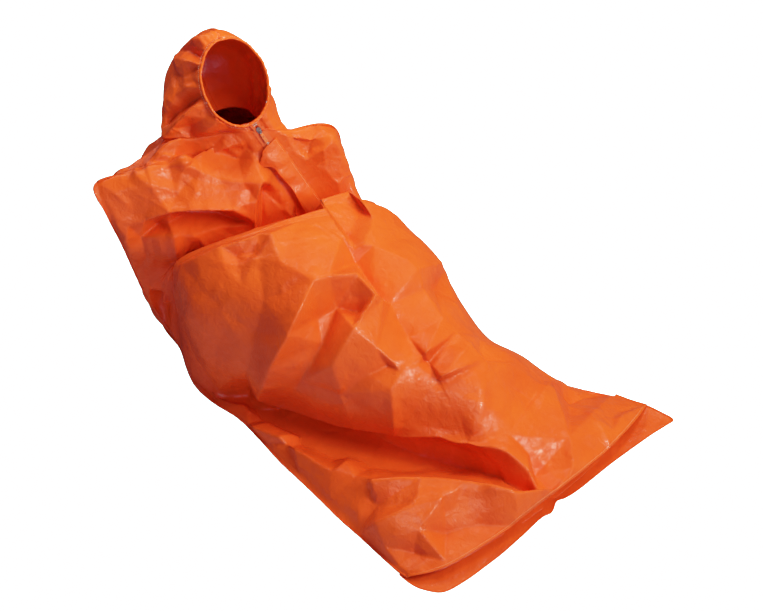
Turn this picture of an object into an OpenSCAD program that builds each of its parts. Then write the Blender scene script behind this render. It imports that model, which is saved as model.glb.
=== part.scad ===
// Hooded bivouac sack, set down the way it stands in use: floor panel flat on the ground,
// leg section raised over bent knees, chest section upright and turned, hood forward.
// Frame: +Z up, +Y towards the hood, +X to the wearer's left, origin at the middle of the
// floor panel's underside. Millimetres.

/* [Sack] */
// Flat width of the sack at the foot end
foot_w = 800; // [780:5:820]
// Turn of the foot end from square to the sack's length
foot_turn = 2.7; // [0:0.1:3.5]
// Thickness of the coated fabric sheets
cloth_t = 1.2; // [0.8:0.1:2]
// Distance between a panel edge and the seam line it is sewn to
seam_gap = 5; // [4.5:0.5:6]
// Radius of the welded seam piping
seam_r = 1.8; // [1.2:0.1:2.2]

/* [Chest] */
// Turn of the chest section about the vertical
chest_turn = -29; // [-32:1:-26]
// Lean of the chest plane back from the vertical
chest_lean = 20; // [18:1:22]
// Length of the closed part of the front zip
zip_len = 258; // [200:1:258]
// Angle of the zip away from the chest's own centre line
zip_lean = 26; // [22:1:28]
// Pitch of the zip teeth
tooth_pitch = 5; // [4:0.5:6]
// Width of the cut in the front panel under the zip
slit_w = 20; // [18:1:22]

/* [Hood] */
// Turn of the hood about the vertical
hood_turn = -16; // [-20:1:-12]
// Upward tilt of the face opening
hood_tilt = 35; // [30:1:40]
// Half width of the face opening
rim_a = 84; // [78:1:90]
// Half height of the face opening
rim_b = 108; // [100:1:114]
// Depth of the hood behind the face opening
hood_d = 232; // [220:1:240]
// Number of stitches shown round the hem
stitches = 40; // [20:1:60]

/* [Storm flap] */
// Width of the flap over the zip
flap_w = 42; // [38:1:46]
// Standing height of the flap over the zip
flap_h = 14; // [13.5:0.1:16]

/* [Hidden] */

// Colours
orange = [0.93, 0.36, 0.1];
deep_orange = [0.88, 0.32, 0.08];
trim_orange = [0.95, 0.42, 0.14];
metal = [0.82, 0.74, 0.66];
thread = [1, 0.75, 0.55];
pale = [0.95, 0.9, 0.85];

// Ends of the foot hem in x
foot_right = -0.98 * foot_w / 2;
foot_left = 1.01 * foot_w / 2;

// Chest plane: its top middle point, and its directions across and up
chin = [20, 418, 560];
chest_across = [cos(chest_turn), sin(chest_turn), 0];
chest_up = [-sin(chest_lean) * sin(chest_turn), sin(chest_lean) * cos(chest_turn),
            cos(chest_lean)];
function chest(x, y) = chin + x * chest_across + y * chest_up;

// Zip frame: slider at the origin, closed zip down -y, z out of the chest
module in_zip()
    translate(chin) rotate([0, 0, chest_turn]) rotate([90 - chest_lean, 0, 0])
        rotate([0, 0, zip_lean]) children();

// Hood frame: middle of the face opening at the origin, y to the crown, z out of the opening
hood_place = [12, 488, 673];
module in_hood()
    translate(hood_place) rotate([0, 0, hood_turn]) rotate([90 - hood_tilt, 0, 0]) children();

// ---- Curves and meshes ----------------------------------------------------
// Catmull-Rom blend from b to c
function blend(a, b, c, d, u) =
    0.5 * (2 * b + (c - a) * u + (2 * a - 5 * b + 4 * c - d) * u * u
           + (3 * b - 3 * c + d - a) * u * u * u);
// Smooth curve, and straight segments, through the list P; s counts its points from 0
function spline(P, s) =
    let (last = len(P) - 1, k = min(floor(s), last - 1))
    blend(P[max(k - 1, 0)], P[k], P[k + 1], P[min(k + 2, last)], s - k);
function segments(P, s) =
    let (k = min(floor(s), len(P) - 2), u = s - k) P[k] * (1 - u) + P[k + 1] * u;

function joined(lists) = [for (list = lists) each list];
function quad(a, b, c, d) = [[a, b, c], [a, c, d]];

// Unit normal of the grid at row i, column j
function normal(grid, i, j) =
    let (last_row = len(grid) - 1,
         last_col = len(grid[0]) - 1,
         along = grid[min(i + 1, last_row)][j] - grid[max(i - 1, 0)][j],
         across = grid[i][min(j + 1, last_col)] - grid[i][max(j - 1, 0)],
         n = cross(across, along))
    n / norm(n);

// Cloth of thickness t under a grid of points
module sheet(grid, t = cloth_t) {
    rows = len(grid);
    cols = len(grid[0]);
    under = rows * cols;    // index of the first point of the underside
    end = under - cols;     // index of the first point of the last row
    inner = [for (i = [0:rows - 1]) [for (j = [0:cols - 1]) grid[i][j] - normal(grid, i, j) * t]];
    faces = concat(
        [for (i = [0:rows - 2]) for (j = [0:cols - 2]) let (a = i * cols + j)
            each quad(a, a + cols, a + cols + 1, a + 1)],
        [for (i = [0:rows - 2]) for (j = [0:cols - 2]) let (a = under + i * cols + j)
            each quad(a, a + 1, a + cols + 1, a + cols)],
        [for (i = [0:rows - 2]) let (a = i * cols)
            each quad(a + cols, a, a + under, a + cols + under)],
        [for (i = [0:rows - 2]) let (a = i * cols + cols - 1)
            each quad(a, a + cols, a + cols + under, a + under)],
        [for (a = [0:cols - 2]) each quad(a, a + 1, a + 1 + under, a + under)],
        [for (j = [0:cols - 2]) let (a = end + j)
            each quad(a + 1, a, a + under, a + 1 + under)]);
    polyhedron(points = concat(joined(grid), joined(inner)), faces = faces, convexity = 10);
}

// Eight-sided piping of radius r along a path
module piping(path, r) {
    sides = 8;
    last = len(path) - 1;
    points = [for (i = [0:last])
        let (d = path[min(i + 1, last)] - path[max(i - 1, 0)],
             dir = d / norm(d),
             e = cross(dir, abs(dir[2]) > 0.9 ? [1, 0, 0] : [0, 0, 1]),
             side = e / norm(e),
             rise = cross(dir, side))
        for (k = [0:sides - 1])
            path[i] + r * (side * cos(360 * k / sides) + rise * sin(360 * k / sides))];
    faces = concat(
        [for (i = [0:last - 1]) for (k = [0:sides - 1])
            let (a = i * sides + k, b = i * sides + (k + 1) % sides)
            each quad(a, b, b + sides, a + sides)],
        [[for (k = [sides - 1:-1:0]) k]],
        [[for (k = [0:sides - 1]) last * sides + k]]);
    polyhedron(points = points, faces = faces, convexity = 10);
}

// ---- Front panel ----------------------------------------------------------
// Foot hem on the ground: its y at x, and its x at station s with the ends drawn in
function foot_y(x) = -605 - x * tan(foot_turn);
function foot_x(s, end_in) =
    spline([foot_right + end_in, -200, 0, 200, foot_left - end_in], s);

function half_foot(share) = share * foot_w / 2;

// Sections from foot to neck, each with points at stations s = 0 to 4:
// right seam, right quarter, middle, left quarter, left seam
FRONT = [
    [[foot_right, foot_y(foot_right), 6.5], [-200, foot_y(-200), 31], [0, foot_y(0), 44],
     [200, foot_y(200), 32], [foot_left, foot_y(foot_left), 6.5]],
    [[half_foot(-1.03), -500, 5], [-230, -487, 54], [-20, -490, 100], [200, -495, 64],
     [half_foot(0.935), -502, 5]],
    [[half_foot(-1.005), -400, 5], [-225, -385, 70], [-40, -380, 165], [160, -390, 114],
     [half_foot(0.795), -395, 5]],
    [[half_foot(-0.985), -290, 5], [-217, -280, 92], [-60, -280, 225], [122, -280, 186],
     [half_foot(0.713), -280, 5]],
    [[-382, -160, 5], [-205, -150, 130], [-60, -150, 292], [162, -150, 226], [268, -150, 5]],
    [[-368, -30, 5], [-248, -20, 204], [-60, -20, 358], [196, -28, 302], [262, -30, 5]],
    [[-352, 80, 5], [-306, 92, 256], [-50, 85, 412], [200, 50, 336], [262, 50, 5]],
    [[-360, 205, 5], [-320, 226, 318], [-65, 160, 445], [182, 106, 392], [258, 120, 5]],
    [[-346, 300, 5], [-302, 372, 355], [-75, 222, 452], [152, 157, 418], [254, 170, 5]],
    [[-318, 372, 5], [-290, 402, 310], [-70, 262, 385], [156, 188, 362], [250, 200, 5]],
    [[-264, 468, 5], [-238, 449, 240], [-48, 308, 262], [120, 232, 258], [244, 240, 5]],
    [[-326, 566, 316], chest(-240, -260), chest(-20, -260), chest(165, -260), [216, 336, 316]],
    [[-350, 572, 425], chest(-270, -150), chest(-20, -150), chest(155, -150), [206, 326, 425]],
    [[-345, 612, 500], chest(-290, -60), chest(-10, -60), chest(140, -60), [213, 342, 500]],
    [[-145, 550, 526], chest(-95, -12), chest(0, 0), chest(75, -12), [150, 376, 526]]];
CHEST = 11;    // first section that lies in the chest plane
NECK = len(FRONT) - 1;
min_z = 5;     // lowest height of the panel short of the chest

// Front surface at section v, station s: smooth up to the chest, straight within it
function across_front(k, s) = k >= CHEST ? segments(FRONT[k], s) : spline(FRONT[k], s);
function front(v, s) =
    v >= CHEST
    ? segments([for (k = [CHEST:NECK]) across_front(k, s)], v - CHEST)
    : let (p = spline([for (k = [0:CHEST]) across_front(k, s)], v))
      [p[0], p[1], max(p[2], min_z)];

// The side seams run at stations 0 and 4; a panel's edge is moved in by the seam gap,
// square to the seam and towards a station beside it
function on_seam(s) = s == 0 || s == 4;
function beside(s) = s == 0 ? 0.5 : 3.5;
function seam_dir(v, s) = front(min(v + 0.05, NECK), s) - front(max(v - 0.05, 0), s);
function moved_in(p, inner, dir) =
    let (a = inner - p, w = a - dir * (a * dir) / (dir * dir)) p + w * seam_gap / norm(w);

function front_row(v) = [for (s = [0:0.25:4])
    on_seam(s) ? moved_in(front(v, s), front(v, beside(s)), seam_dir(v, s)) : front(v, s)];

module front_panel() color(orange) difference() {
    sheet([for (v = [0:0.5:NECK]) front_row(v)]);
    in_zip() translate([-slit_w / 2, -zip_len - 4, -30]) cube([slit_w, zip_len + 60, 60]);
}

// ---- Seam lines -----------------------------------------------------------
module side_seam(s) piping([for (v = [0:0.5:13]) front(v, s)], seam_r);
module side_seam_right() color(trim_orange) side_seam(0);
module side_seam_left() color(trim_orange) side_seam(4);

module foot_seam() color(trim_orange)
    piping([for (s = [0:0.25:4]) let (x = foot_x(s, 9)) [x, foot_y(x) - 2, 3.5]], 1.4);

shoulder_shift = [0, 2, 5.5];    // from the front panel's side line to the shoulder seam
module shoulder_seams() color(trim_orange) for (s = [0, 4])
    piping([for (v = [13.06:0.12:13.99]) front(v, s) + shoulder_shift], seam_r);

// ---- Floor, back and foot gusset ------------------------------------------
floor_in = 9;    // floor edge in from the sack's outline
floor_outline = concat(
    [[foot_right, foot_y(foot_right)], [foot_left, foot_y(foot_left)]],
    [for (v = [1:0.5:10]) let (p = front(v, 4)) [p[0], p[1]]],
    // x, y round the hood end, from left to right
    [[246, 330], [248, 420], [236, 520], [206, 600], [150, 660],
     [70, 694], [-30, 694], [-120, 660], [-190, 612], [-246, 530]],
    [for (v = [10:-0.5:1]) let (p = front(v, 0)) [p[0], p[1]]]);
module floor_panel() color(deep_orange)
    linear_extrude(height = cloth_t) offset(delta = -floor_in) polygon(floor_outline);

// Back sections from the ground to the neck, stations as in FRONT
BACK = [
    [front(10, 0), [-196, 604, 5], [70, 690, 5], [236, 520, 5], front(10, 4)],
    [front(10.5, 0), [-214, 622, 160], [76, 690, 160], [240, 520, 160], front(10.5, 4)],
    [front(11, 0), [-222, 650, 316], [82, 682, 316], [236, 515, 316], front(11, 4)],
    [front(12, 0), [-226, 662, 420], [84, 668, 420], [226, 495, 420], front(12, 4)],
    [front(13, 0), [-222, 654, 486], [80, 640, 484], [206, 465, 486], front(13, 4)],
    [front(14, 0) + [14, 20, -4], [-40, 606, 508], [75, 606, 508], [160, 510, 508],
     front(14, 4) + [10, 18, -4]]];
function back(v, s) = spline([for (section = BACK) spline(section, s)], v);

// The edges follow the front's seam lines up to back section 4
function back_row(v) =
    let (front_v = v < 2 ? 10 + v / 2 : 9 + v)
    [for (s = [4:-0.25:0])
        on_seam(s)
        ? moved_in(v > 4 ? back(v, s) : front(front_v, s), back(v, beside(s)),
                   seam_dir(front_v, s))
        : back(v, s)];
module back_panel() color(deep_orange)
    sheet([for (v = [0, 1, 2, 2.5, 3, 3.5, 4, 4.5, 5]) back_row(v)]);

// Inward pleat between the front panel's hem and the floor, one line per row:
// share of the width, distance in from the hem, base height, share of the hem's rise
PLEAT = [
    [1, 4, 3, 0], [0.97, 45, 2.8, 0.1], [0.94, 81, 2.8, 0.3],
    [0.94, 83, 3, 0.4], [0.95, 45, 3.4, 0.6], [0.96, 15, 3.6, 0.75]];
function hem_rise(s) = spline([4.6, 18, 26, 18, 4.6], s);
module foot_gusset() color(deep_orange)
    sheet([for (p = PLEAT) [for (s = [0:0.25:4]) let (x = foot_x(s, 14) * p[0])
        [x, foot_y(x) + p[1], p[2] + p[3] * hem_rise(s)]]], 0.6);

// ---- Hood -----------------------------------------------------------------
// Rings from the face opening back: depth, half width, half height, shift in y, start angle
RINGS = [
    [0, rim_a + 4, rim_b + 4, 0, -58],
    [40, 106, 134, 0, -46],
    [90, 124, 151, 0, -34],
    [140, 130, 154, -4, -22],
    [186, 118, 138, -8, -11],
    [216, 86, 104, -10, -3],
    [hood_d, 34, 44, -12, 0]];
crown_angle = 88.2;    // each half stops just short of the crown line

// Point at ring v, share w of the way up to the crown; side is 1 for left, -1 for right
function hood(v, w, side) =
    let (ring = spline(RINGS, v), a = ring[4] + (crown_angle - ring[4]) * w)
    [side * ring[1] * cos(a), ring[3] + ring[2] * sin(a), -ring[0]];
// The left half runs from the crown down, so that both halves are thickened inwards
module hood_half(side) in_hood()
    sheet([for (v = [0:0.5:6])
        [for (w = side > 0 ? [1:-0.0625:0] : [0:0.0625:1]) hood(v, w, side)]]);
module hood_right_panel() color(orange) hood_half(-1);
module hood_left_panel() color(orange) hood_half(1);

module hood_crown_tape() color(trim_orange) in_hood()
    sheet([for (v = [0.1:0.3:5.2]) let (ring = spline(RINGS, v))
        [for (x = [-9, -3, 3, 9]) [x, ring[3] + ring[2] + 2.4 - x * x * 0.004, -ring[0]]]], 0.5);

// Point at angle a of the face opening, moved outwards and along z
function rim(a, out, z) = [(rim_a + out) * cos(a), (rim_b + out) * sin(a), z];

// Closed band round the face opening; profile columns: distance out, z
module rim_band(profile, flip = false) {
    steps = 72;
    m = len(profile);
    points = [for (i = [0:steps - 1]) for (p = profile) rim(360 * i / steps, p[0], p[1])];
    faces = [for (i = [0:steps - 1]) for (k = [0:m - 1])
        let (next = ((i + 1) % steps) * m, k2 = (k + 1) % m,
             a = i * m + k, b = i * m + k2, c = next + k2, d = next + k)
        each (flip ? quad(a, d, c, b) : quad(a, b, c, d))];
    polyhedron(points = points, faces = faces, convexity = 10);
}

// Folded hem strip, open towards the hood's back
module hood_hem_casing() color(trim_orange) in_hood()
    rim_band([[4.4, 1.2], [4.4, 8.6], [-4.4, 8.6], [-4.4, 1.2],
              [-3.4, 1.2], [-3.4, 7.6], [3.4, 7.6], [3.4, 1.2]]);

elastic_r = 2.4;
module hood_elastic() color(pale) in_hood()
    rim_band([for (k = [0:7]) elastic_r * [cos(45 * k), sin(45 * k)] + [0, 4.8]], flip = true);

module hood_hem_stitches() color(thread) in_hood()
    for (i = [0:stitches - 1]) let (a = 360 * (i + 0.5) / stitches)
        translate(rim(a, 4.75, 3.2))
            rotate([0, 0, atan2(rim_b * cos(a), -rim_a * sin(a)) - 90])
                rotate([90, 0, 0]) cylinder(r = 0.3, h = 3.6, center = true, $fn = 16);

// ---- Zip ------------------------------------------------------------------
// Side is 1 for left (+x), -1 for right
tape_in = 3;     // inner edge of each tape from the zip line
tape_out = 15;
tape_z = 0.3;
tape_t = 0.7;
open_y = 4;      // where the tapes begin to part
open_len = 24;
open_ang = 9;

module on_side(side) mirror([side > 0 ? 0 : 1, 0, 0]) children();
module on_open_end() translate([tape_in, open_y, 0]) rotate([0, 0, -open_ang]) children();

module zip_tape(side) color(trim_orange) in_zip() on_side(side) {
    translate([tape_in, -zip_len, tape_z]) cube([tape_out - tape_in, zip_len + open_y, tape_t]);
    on_open_end() translate([0, 0, tape_z]) cube([7, open_len, tape_t]);
}
module zip_tape_right() zip_tape(-1);
module zip_tape_left() zip_tape(1);

// Closed teeth below the slider, shifted down, and two on the open end
first_tooth = 12;
module tooth() translate([-1.4, -1, -0.5]) cube([4.4, 2, 2.4]);
module zip_teeth(side, shift) color(trim_orange) in_zip() on_side(side) {
    for (i = [0:floor((zip_len - 16) / tooth_pitch) - 1])
        translate([0, -first_tooth - i * tooth_pitch - shift, 0]) tooth();
    for (i = [0:1])
        on_open_end() translate([-tape_in, first_tooth + i * tooth_pitch, 0]) tooth();
}
module zip_teeth_right() zip_teeth(-1, tooth_pitch / 2);
module zip_teeth_left() zip_teeth(1, 0);

module zip_top_stops() color(metal) in_zip() for (side = [1, -1])
    on_side(side) on_open_end() translate([-4.2, 20.5, -0.5]) cube([4.2, 3, 3]);
module zip_bottom_stop() color(metal) in_zip()
    translate([-2.95, -zip_len - 3.4, -0.8]) cube([5.9, 3.2, 3]);

// Patch with cut corners below the bottom stop
patch_w = 26;
patch_h = 14;
patch_cut = 3;
module zip_end_patch() color(deep_orange) in_zip()
    translate([-patch_w / 2, -zip_len - 20, 0.4]) linear_extrude(height = 0.8) polygon([
        [patch_cut, 0], [patch_w - patch_cut, 0],
        [patch_w, patch_cut], [patch_w, patch_h - patch_cut],
        [patch_w - patch_cut, patch_h], [patch_cut, patch_h],
        [0, patch_h - patch_cut], [0, patch_cut]]);

// ---- Slider and pull ------------------------------------------------------
pin_z = 5.2;
pin_hole_r = 0.75;
link_w = 4.8;
link_len = 14;
link_t = 1.2;
grip_t = 2.6;

// Outline closed by the mirror image of its +x half
function mirrored(half) =
    concat(half, [for (i = [len(half) - 1:-1:0]) [-half[i][0], half[i][1]]]);
// Round bar on the pin's axis, centred in x
module pin_bar(r, length)
    translate([-length / 2, 0, pin_z]) rotate([0, 90, 0]) cylinder(r = r, h = length, $fn = 32);
module link_plate(length)
    translate([-link_w / 2, -link_len, pin_z - link_t / 2]) cube([link_w, length, link_t]);

// Two plates joined by a post at the open end, with two lugs for the pull's pin
module zip_slider() color(metal) in_zip() difference() {
    union() {
        for (z = [2.4, -2]) translate([0, 0, z]) linear_extrude(height = 1)
            polygon(mirrored([[3.2, -8], [4.6, -6.4], [6, 0.4], [5.6, 6], [3.6, 8]]));
        translate([-1.1, 4.6, -1.2]) cube([2.2, 3, 3.8]);
        for (x = [-3.9, 2.6]) translate([x, -1.6, 3.2]) cube([1.3, 3.2, 3.8]);
    }
    pin_bar(pin_hole_r, 12);
}
module zip_slider_pin() color(metal) in_zip() pin_bar(0.7, 8.8);

module zip_pull_link() color(metal) in_zip() difference() {
    union() {
        pin_bar(1.6, link_w);
        link_plate(link_len);
    }
    pin_bar(pin_hole_r, 12);
    translate([0, -6.5, 3]) cylinder(r = 1.1, h = 5, $fn = 32);
}

// Grip round the end of the link, with two round holes
module zip_pull_grip() color(trim_orange) in_zip() difference() {
    translate([0, 0, pin_z - grip_t / 2]) linear_extrude(height = grip_t)
        polygon(mirrored([[2.6, -9], [3.6, -10.4], [4.4, -33.4], [2.8, -36]]));
    link_plate(link_len + 0.1);
    for (y = [-19, -30]) translate([0, y, 3]) cylinder(r = 1.6, h = 5, $fn = 32);
}

// ---- Storm flap -----------------------------------------------------------
flap_x = 24;                   // sewn edge
flap_free_x = flap_x - flap_w;
flap_top = -44;                // y of the upper end
flap_corner_r = 14;

// Slopes up from its sewn edge over the zip; the free upper corner is rounded
module storm_flap() color(orange) in_zip() difference() {
    translate([0, flap_top, 0]) rotate([90, 0, 0]) linear_extrude(height = zip_len + flap_top)
        polygon([[flap_x - 0.6, 1.8], [flap_free_x, flap_h],
                 [flap_free_x, flap_h + 1.1], [flap_x + 0.5, 1.9]]);
    translate([flap_free_x, flap_top, 0]) difference() {
        translate([-1, -flap_corner_r, 6]) cube([flap_corner_r + 1, flap_corner_r + 1, 12]);
        translate([flap_corner_r, -flap_corner_r, 5])
            cylinder(r = flap_corner_r, h = 14, $fn = 64);
    }
}
module storm_flap_stitches() color(thread) in_zip() for (i = [0:17])
    translate([flap_x + 4.5, flap_top - 8 - i * 13, 0.45])
        rotate([90, 0, 0]) cylinder(r = 0.35, h = 7, $fn = 16);

front_panel();
floor_panel();
back_panel();
foot_gusset();
side_seam_right();
side_seam_left();
foot_seam();
shoulder_seams();
hood_right_panel();
hood_left_panel();
hood_crown_tape();
hood_hem_casing();
hood_elastic();
hood_hem_stitches();
zip_tape_right();
zip_tape_left();
zip_teeth_right();
zip_teeth_left();
zip_top_stops();
zip_bottom_stop();
zip_end_patch();
zip_slider();
zip_slider_pin();
zip_pull_link();
zip_pull_grip();
storm_flap();
storm_flap_stitches();
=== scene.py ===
"""Looks of the hooded bivouac sack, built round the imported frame.

The sack lies on z = 0 with its foot end towards -y, and its chest and hood rise at +y. The wearer
faces -y, so the wearer's left is +x. Sizes are in millimetres; meshes are stored in metres.
"""
import bpy
import math
import numpy as np
from mathutils import Matrix, Vector
from mathutils.geometry import delaunay_2d_cdt


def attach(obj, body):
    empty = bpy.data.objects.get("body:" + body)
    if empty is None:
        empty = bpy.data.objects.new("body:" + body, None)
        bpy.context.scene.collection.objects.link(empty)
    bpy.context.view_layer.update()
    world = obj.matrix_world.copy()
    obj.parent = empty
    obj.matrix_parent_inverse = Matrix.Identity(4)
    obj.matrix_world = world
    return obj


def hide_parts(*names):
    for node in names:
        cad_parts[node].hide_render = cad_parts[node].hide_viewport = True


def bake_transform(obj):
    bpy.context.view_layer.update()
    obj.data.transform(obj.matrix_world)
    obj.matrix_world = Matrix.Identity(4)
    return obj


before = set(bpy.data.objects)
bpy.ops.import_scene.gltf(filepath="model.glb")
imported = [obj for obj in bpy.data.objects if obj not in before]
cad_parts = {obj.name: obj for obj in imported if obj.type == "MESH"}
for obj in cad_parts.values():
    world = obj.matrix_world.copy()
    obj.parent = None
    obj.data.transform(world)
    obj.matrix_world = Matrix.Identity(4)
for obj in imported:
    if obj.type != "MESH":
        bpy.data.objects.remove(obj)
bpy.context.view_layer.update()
scene = bpy.context.scene
rad = math.radians


def vec(*parts):
    return np.array(parts, float)


def read_lines(text, columns=3):
    """Number table: "|" ends a line of points, each point has this many columns."""
    return [np.array(part.replace(",", " ").split(), float).reshape(-1, columns)
            for part in text.split("|")]


# ---- local frames ----
# chest: from the chin point, to the wearer's left, up the chest, and out from it
CHIN = vec(20, 418, 560)
CHEST_TURN, CHEST_LEAN, ZIP_TILT = rad(-29), rad(20), rad(26)
CHEST_LEFT = vec(math.cos(CHEST_TURN), math.sin(CHEST_TURN), 0)
CHEST_UP = vec(-math.sin(CHEST_LEAN) * math.sin(CHEST_TURN),
               math.sin(CHEST_LEAN) * math.cos(CHEST_TURN), math.cos(CHEST_LEAN))
CHEST_OUT = np.cross(CHEST_LEFT, CHEST_UP)
# zip: across it and along it, in the plane of the chest
ZIP_X = math.cos(ZIP_TILT) * CHEST_LEFT + math.sin(ZIP_TILT) * CHEST_UP
ZIP_Y = -math.sin(ZIP_TILT) * CHEST_LEFT + math.cos(ZIP_TILT) * CHEST_UP
# hood: centre of the rim of the face opening, to the wearer's left, up it, and forward out of it
HOOD_MID = vec(12, 488, 673)
HOOD_TURN, HOOD_LEAN = rad(16), rad(35)
HOOD_LEFT = vec(math.cos(-HOOD_TURN), math.sin(-HOOD_TURN), 0)
HOOD_UP = vec(math.sin(HOOD_LEAN) * math.sin(HOOD_TURN),
              math.sin(HOOD_LEAN) * math.cos(HOOD_TURN), math.cos(HOOD_LEAN))
HOOD_OUT = np.cross(HOOD_LEFT, HOOD_UP)
RIM_WIDE, RIM_HIGH = 84, 108                  # half sizes of the rim
# camera
VIEW_TURN, VIEW_DOWN, VIEW_DIST = rad(-46.0), rad(45.0), 4200.0
LENS = 80.90186
LOOK = vec(-math.sin(VIEW_TURN) * math.cos(VIEW_DOWN),
           math.cos(VIEW_TURN) * math.cos(VIEW_DOWN), -math.sin(VIEW_DOWN))
RIGHT = vec(math.cos(VIEW_TURN), math.sin(VIEW_TURN), 0)
VIEW_UP = np.cross(RIGHT, LOOK)
EYE = vec(12.124, -6.934, 253.904) - LOOK * VIEW_DIST
# Folds are drawn on a flat sheet square to the camera's axis, u to its right and v down,
# in millimetres on the sheet, and are projected from the eye onto the cloth.
SHEET_DIST = 1714.67
SHEET_AXIS = (381.5, 305.5)                   # where the camera's axis crosses the sheet
SHEET_BOX = (60, 16, 720, 610)                # u and v limits
SHEET_STEP = 0.5

STEP = 3.8                                    # mesh spacing of the front panel
CLOTH = 0.9                                   # thickness
GROUND_GAP = 3.0                              # least height of the panels over the ground


def on_chest(x, y, z=0.0):
    return tuple(CHIN + x * CHEST_LEFT + y * CHEST_UP + z * CHEST_OUT)


def on_zip(x, y, z):
    return CHIN + x * ZIP_X + y * ZIP_Y + z * CHEST_OUT


def to_zip(points):
    offset = points - CHIN
    return np.stack([offset @ ZIP_X, offset @ ZIP_Y, offset @ CHEST_OUT], -1)


def to_sheet(points):
    ray = np.asarray(points, float) - EYE
    depth = ray @ LOOK
    return np.stack([SHEET_AXIS[0] + SHEET_DIST * (ray @ RIGHT) / depth,
                     SHEET_AXIS[1] - SHEET_DIST * (ray @ VIEW_UP) / depth], -1)


# ---- control nets of the smooth skins ----
# Front panel: rows of 13 points x y z from the wearer's right edge to the left one,
# starting at the hem over the foot gusset.
FRONT = read_lines("""
-405 -492 12, -372 -522 24, -330 -546 32, -262 -563 38, -190 -576 42, -110 -586 45, -30 -592 47,
50 -596 46, 130 -598 43, 210 -596 38, 285 -588 30, 350 -574 20, 396 -560 10 |
-404 -455 6, -362 -478 32, -310 -500 46, -245 -518 54, -175 -530 58, -105 -538 60, -30 -545 64,
50 -548 64, 130 -550 58, 205 -548 50, 270 -538 38, 330 -522 24, 378 -505 5 |
-400 -400 5, -335 -420 44, -255 -440 54, -175 -452 50, -95 -460 60, -50 -462 80, 0 -465 94,
60 -468 92, 120 -470 80, 185 -468 64, 245 -462 46, 300 -452 26, 345 -445 5 |
-394 -330 5, -310 -350 50, -200 -365 48, -95 -372 48, -50 -376 90, -25 -378 125, 10 -380 142,
60 -382 140, 110 -384 122, 172 -384 112, 232 -378 80, 280 -372 46, 310 -370 5 |
-390 -260 5, -300 -272 50, -175 -280 44, -105 -284 58, -82 -286 108, -70 -288 178, -45 -290 215,
5 -290 226, 60 -290 213, 128 -290 200, 196 -288 150, 250 -284 84, 285 -280 5 |
-382 -190 5, -300 -195 46, -185 -200 40, -130 -203 70, -128 -205 132, -112 -206 202, -75 -207 249,
-15 -208 267, 50 -208 257, 115 -208 226, 175 -206 170, 232 -202 85, 272 -198 5 |
-374 -110 5, -300 -112 42, -205 -115 38, -182 -117 72, -195 -118 150, -180 -118 232, -130 -118 290,
-50 -118 319, 30 -118 313, 110 -118 286, 180 -116 226, 222 -112 115, 262 -108 5 |
-366 -25 5, -305 -25 36, -232 -25 34, -222 -25 75, -252 -25 165, -240 -25 262, -180 -25 335,
-80 -25 369, 20 -25 367, 120 -25 340, 200 -25 284, 226 -22 150, 256 -20 5 |
-350 72 5, -310 74 30, -262 76 30, -262 76 75, -302 76 170, -296 76 280, -235 76 365,
-125 76 406, -15 76 413, 95 70 394, 196 62 332, 226 60 180, 254 58 5 |
-342 150 5, -318 152 24, -292 154 28, -305 155 80, -346 156 180, -338 160 290, -285 165 375,
-175 160 425, -60 150 443, 60 130 432, 168 110 388, 226 108 220, 252 108 5 |
-350 232 5, -342 236 18, -332 238 30, -346 240 90, -368 244 190, -362 262 285, -318 290 362,
-225 262 420, -105 215 449, 25 165 448, 132 142 422, 206 140 270, 252 140 5 |
-345 300 5, -340 305 30, -335 312 80, -335 330 150, -335 352 230, -322 370 300, -296 376 358,
-218 300 420, -110 235 450, 10 182 453, 125 156 426, 200 170 300, 250 165 5 |
-322 360 5, -318 368 30, -312 378 80, -308 390 150, -305 398 225, -296 402 285, -276 396 335,
-200 328 392, -100 262 414, 15 205 417, 126 176 394, 196 188 280, 248 190 5 |
-275 450 5, -272 452 40, -268 452 100, -262 450 160, -255 446 205, -242 440 245, -215 425 265,
-150 378 272, -70 325 268, 20 276 275, 135 226 325, 196 208 290, 244 228 5 |
-290 545 130, -275 535 165, -255 515 195, -235 500 222, -210 480 245, -180 460 265, -140 435 280,
-90 400 288, -30 360 290, 50 312 300, 138 252 345, 190 240 345, 238 276 150""")
CHEST_X = (-290, -235, -180, -130, -80, -30, 20, 75, 125)
FRONT += [
    [(-326, 566, 316), on_chest(-322, -262, -10), *[on_chest(x, -260) for x in CHEST_X[:-1]],
     (124, 266, 345), (184, 264, 392), (226, 300, 316)],
    [(-354, 570, 430), on_chest(-335, -150, -8), *[on_chest(x, -150) for x in CHEST_X[:-1]],
     on_chest(122, -150), (181, 283, 428), (212, 320, 425)],
    [(-347, 608, 501), on_chest(-345, -72, -10), *[on_chest(x, -58) for x in CHEST_X],
     (170, 318, 496), (208, 338, 496)],
    [(-230, 572, 502), (-212, 556, 508), (-188, 537, 516), on_chest(-150, -31),
     on_chest(-118, -29), on_chest(-88, -28), on_chest(-60, -27), on_chest(-30, -26),
     on_chest(0, -26), on_chest(32, -26), on_chest(68, -30), on_chest(105, -38, -4),
     (166, 358, 527)]]
# front half of the neck seam
FRONT += read_lines("""
-150 574 540, -135 560 541, -118 545 543, -100 530 545, -80 512 548, -60 495 551, -38 476 554,
-15 455 557, 5 435 559, 20 418 560, 45 405 556, 70 397 545, 95 394 526""")
FRONT = np.array(FRONT, float)
SIDE_ROW = 13                                 # row where the side seams leave the ground
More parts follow.
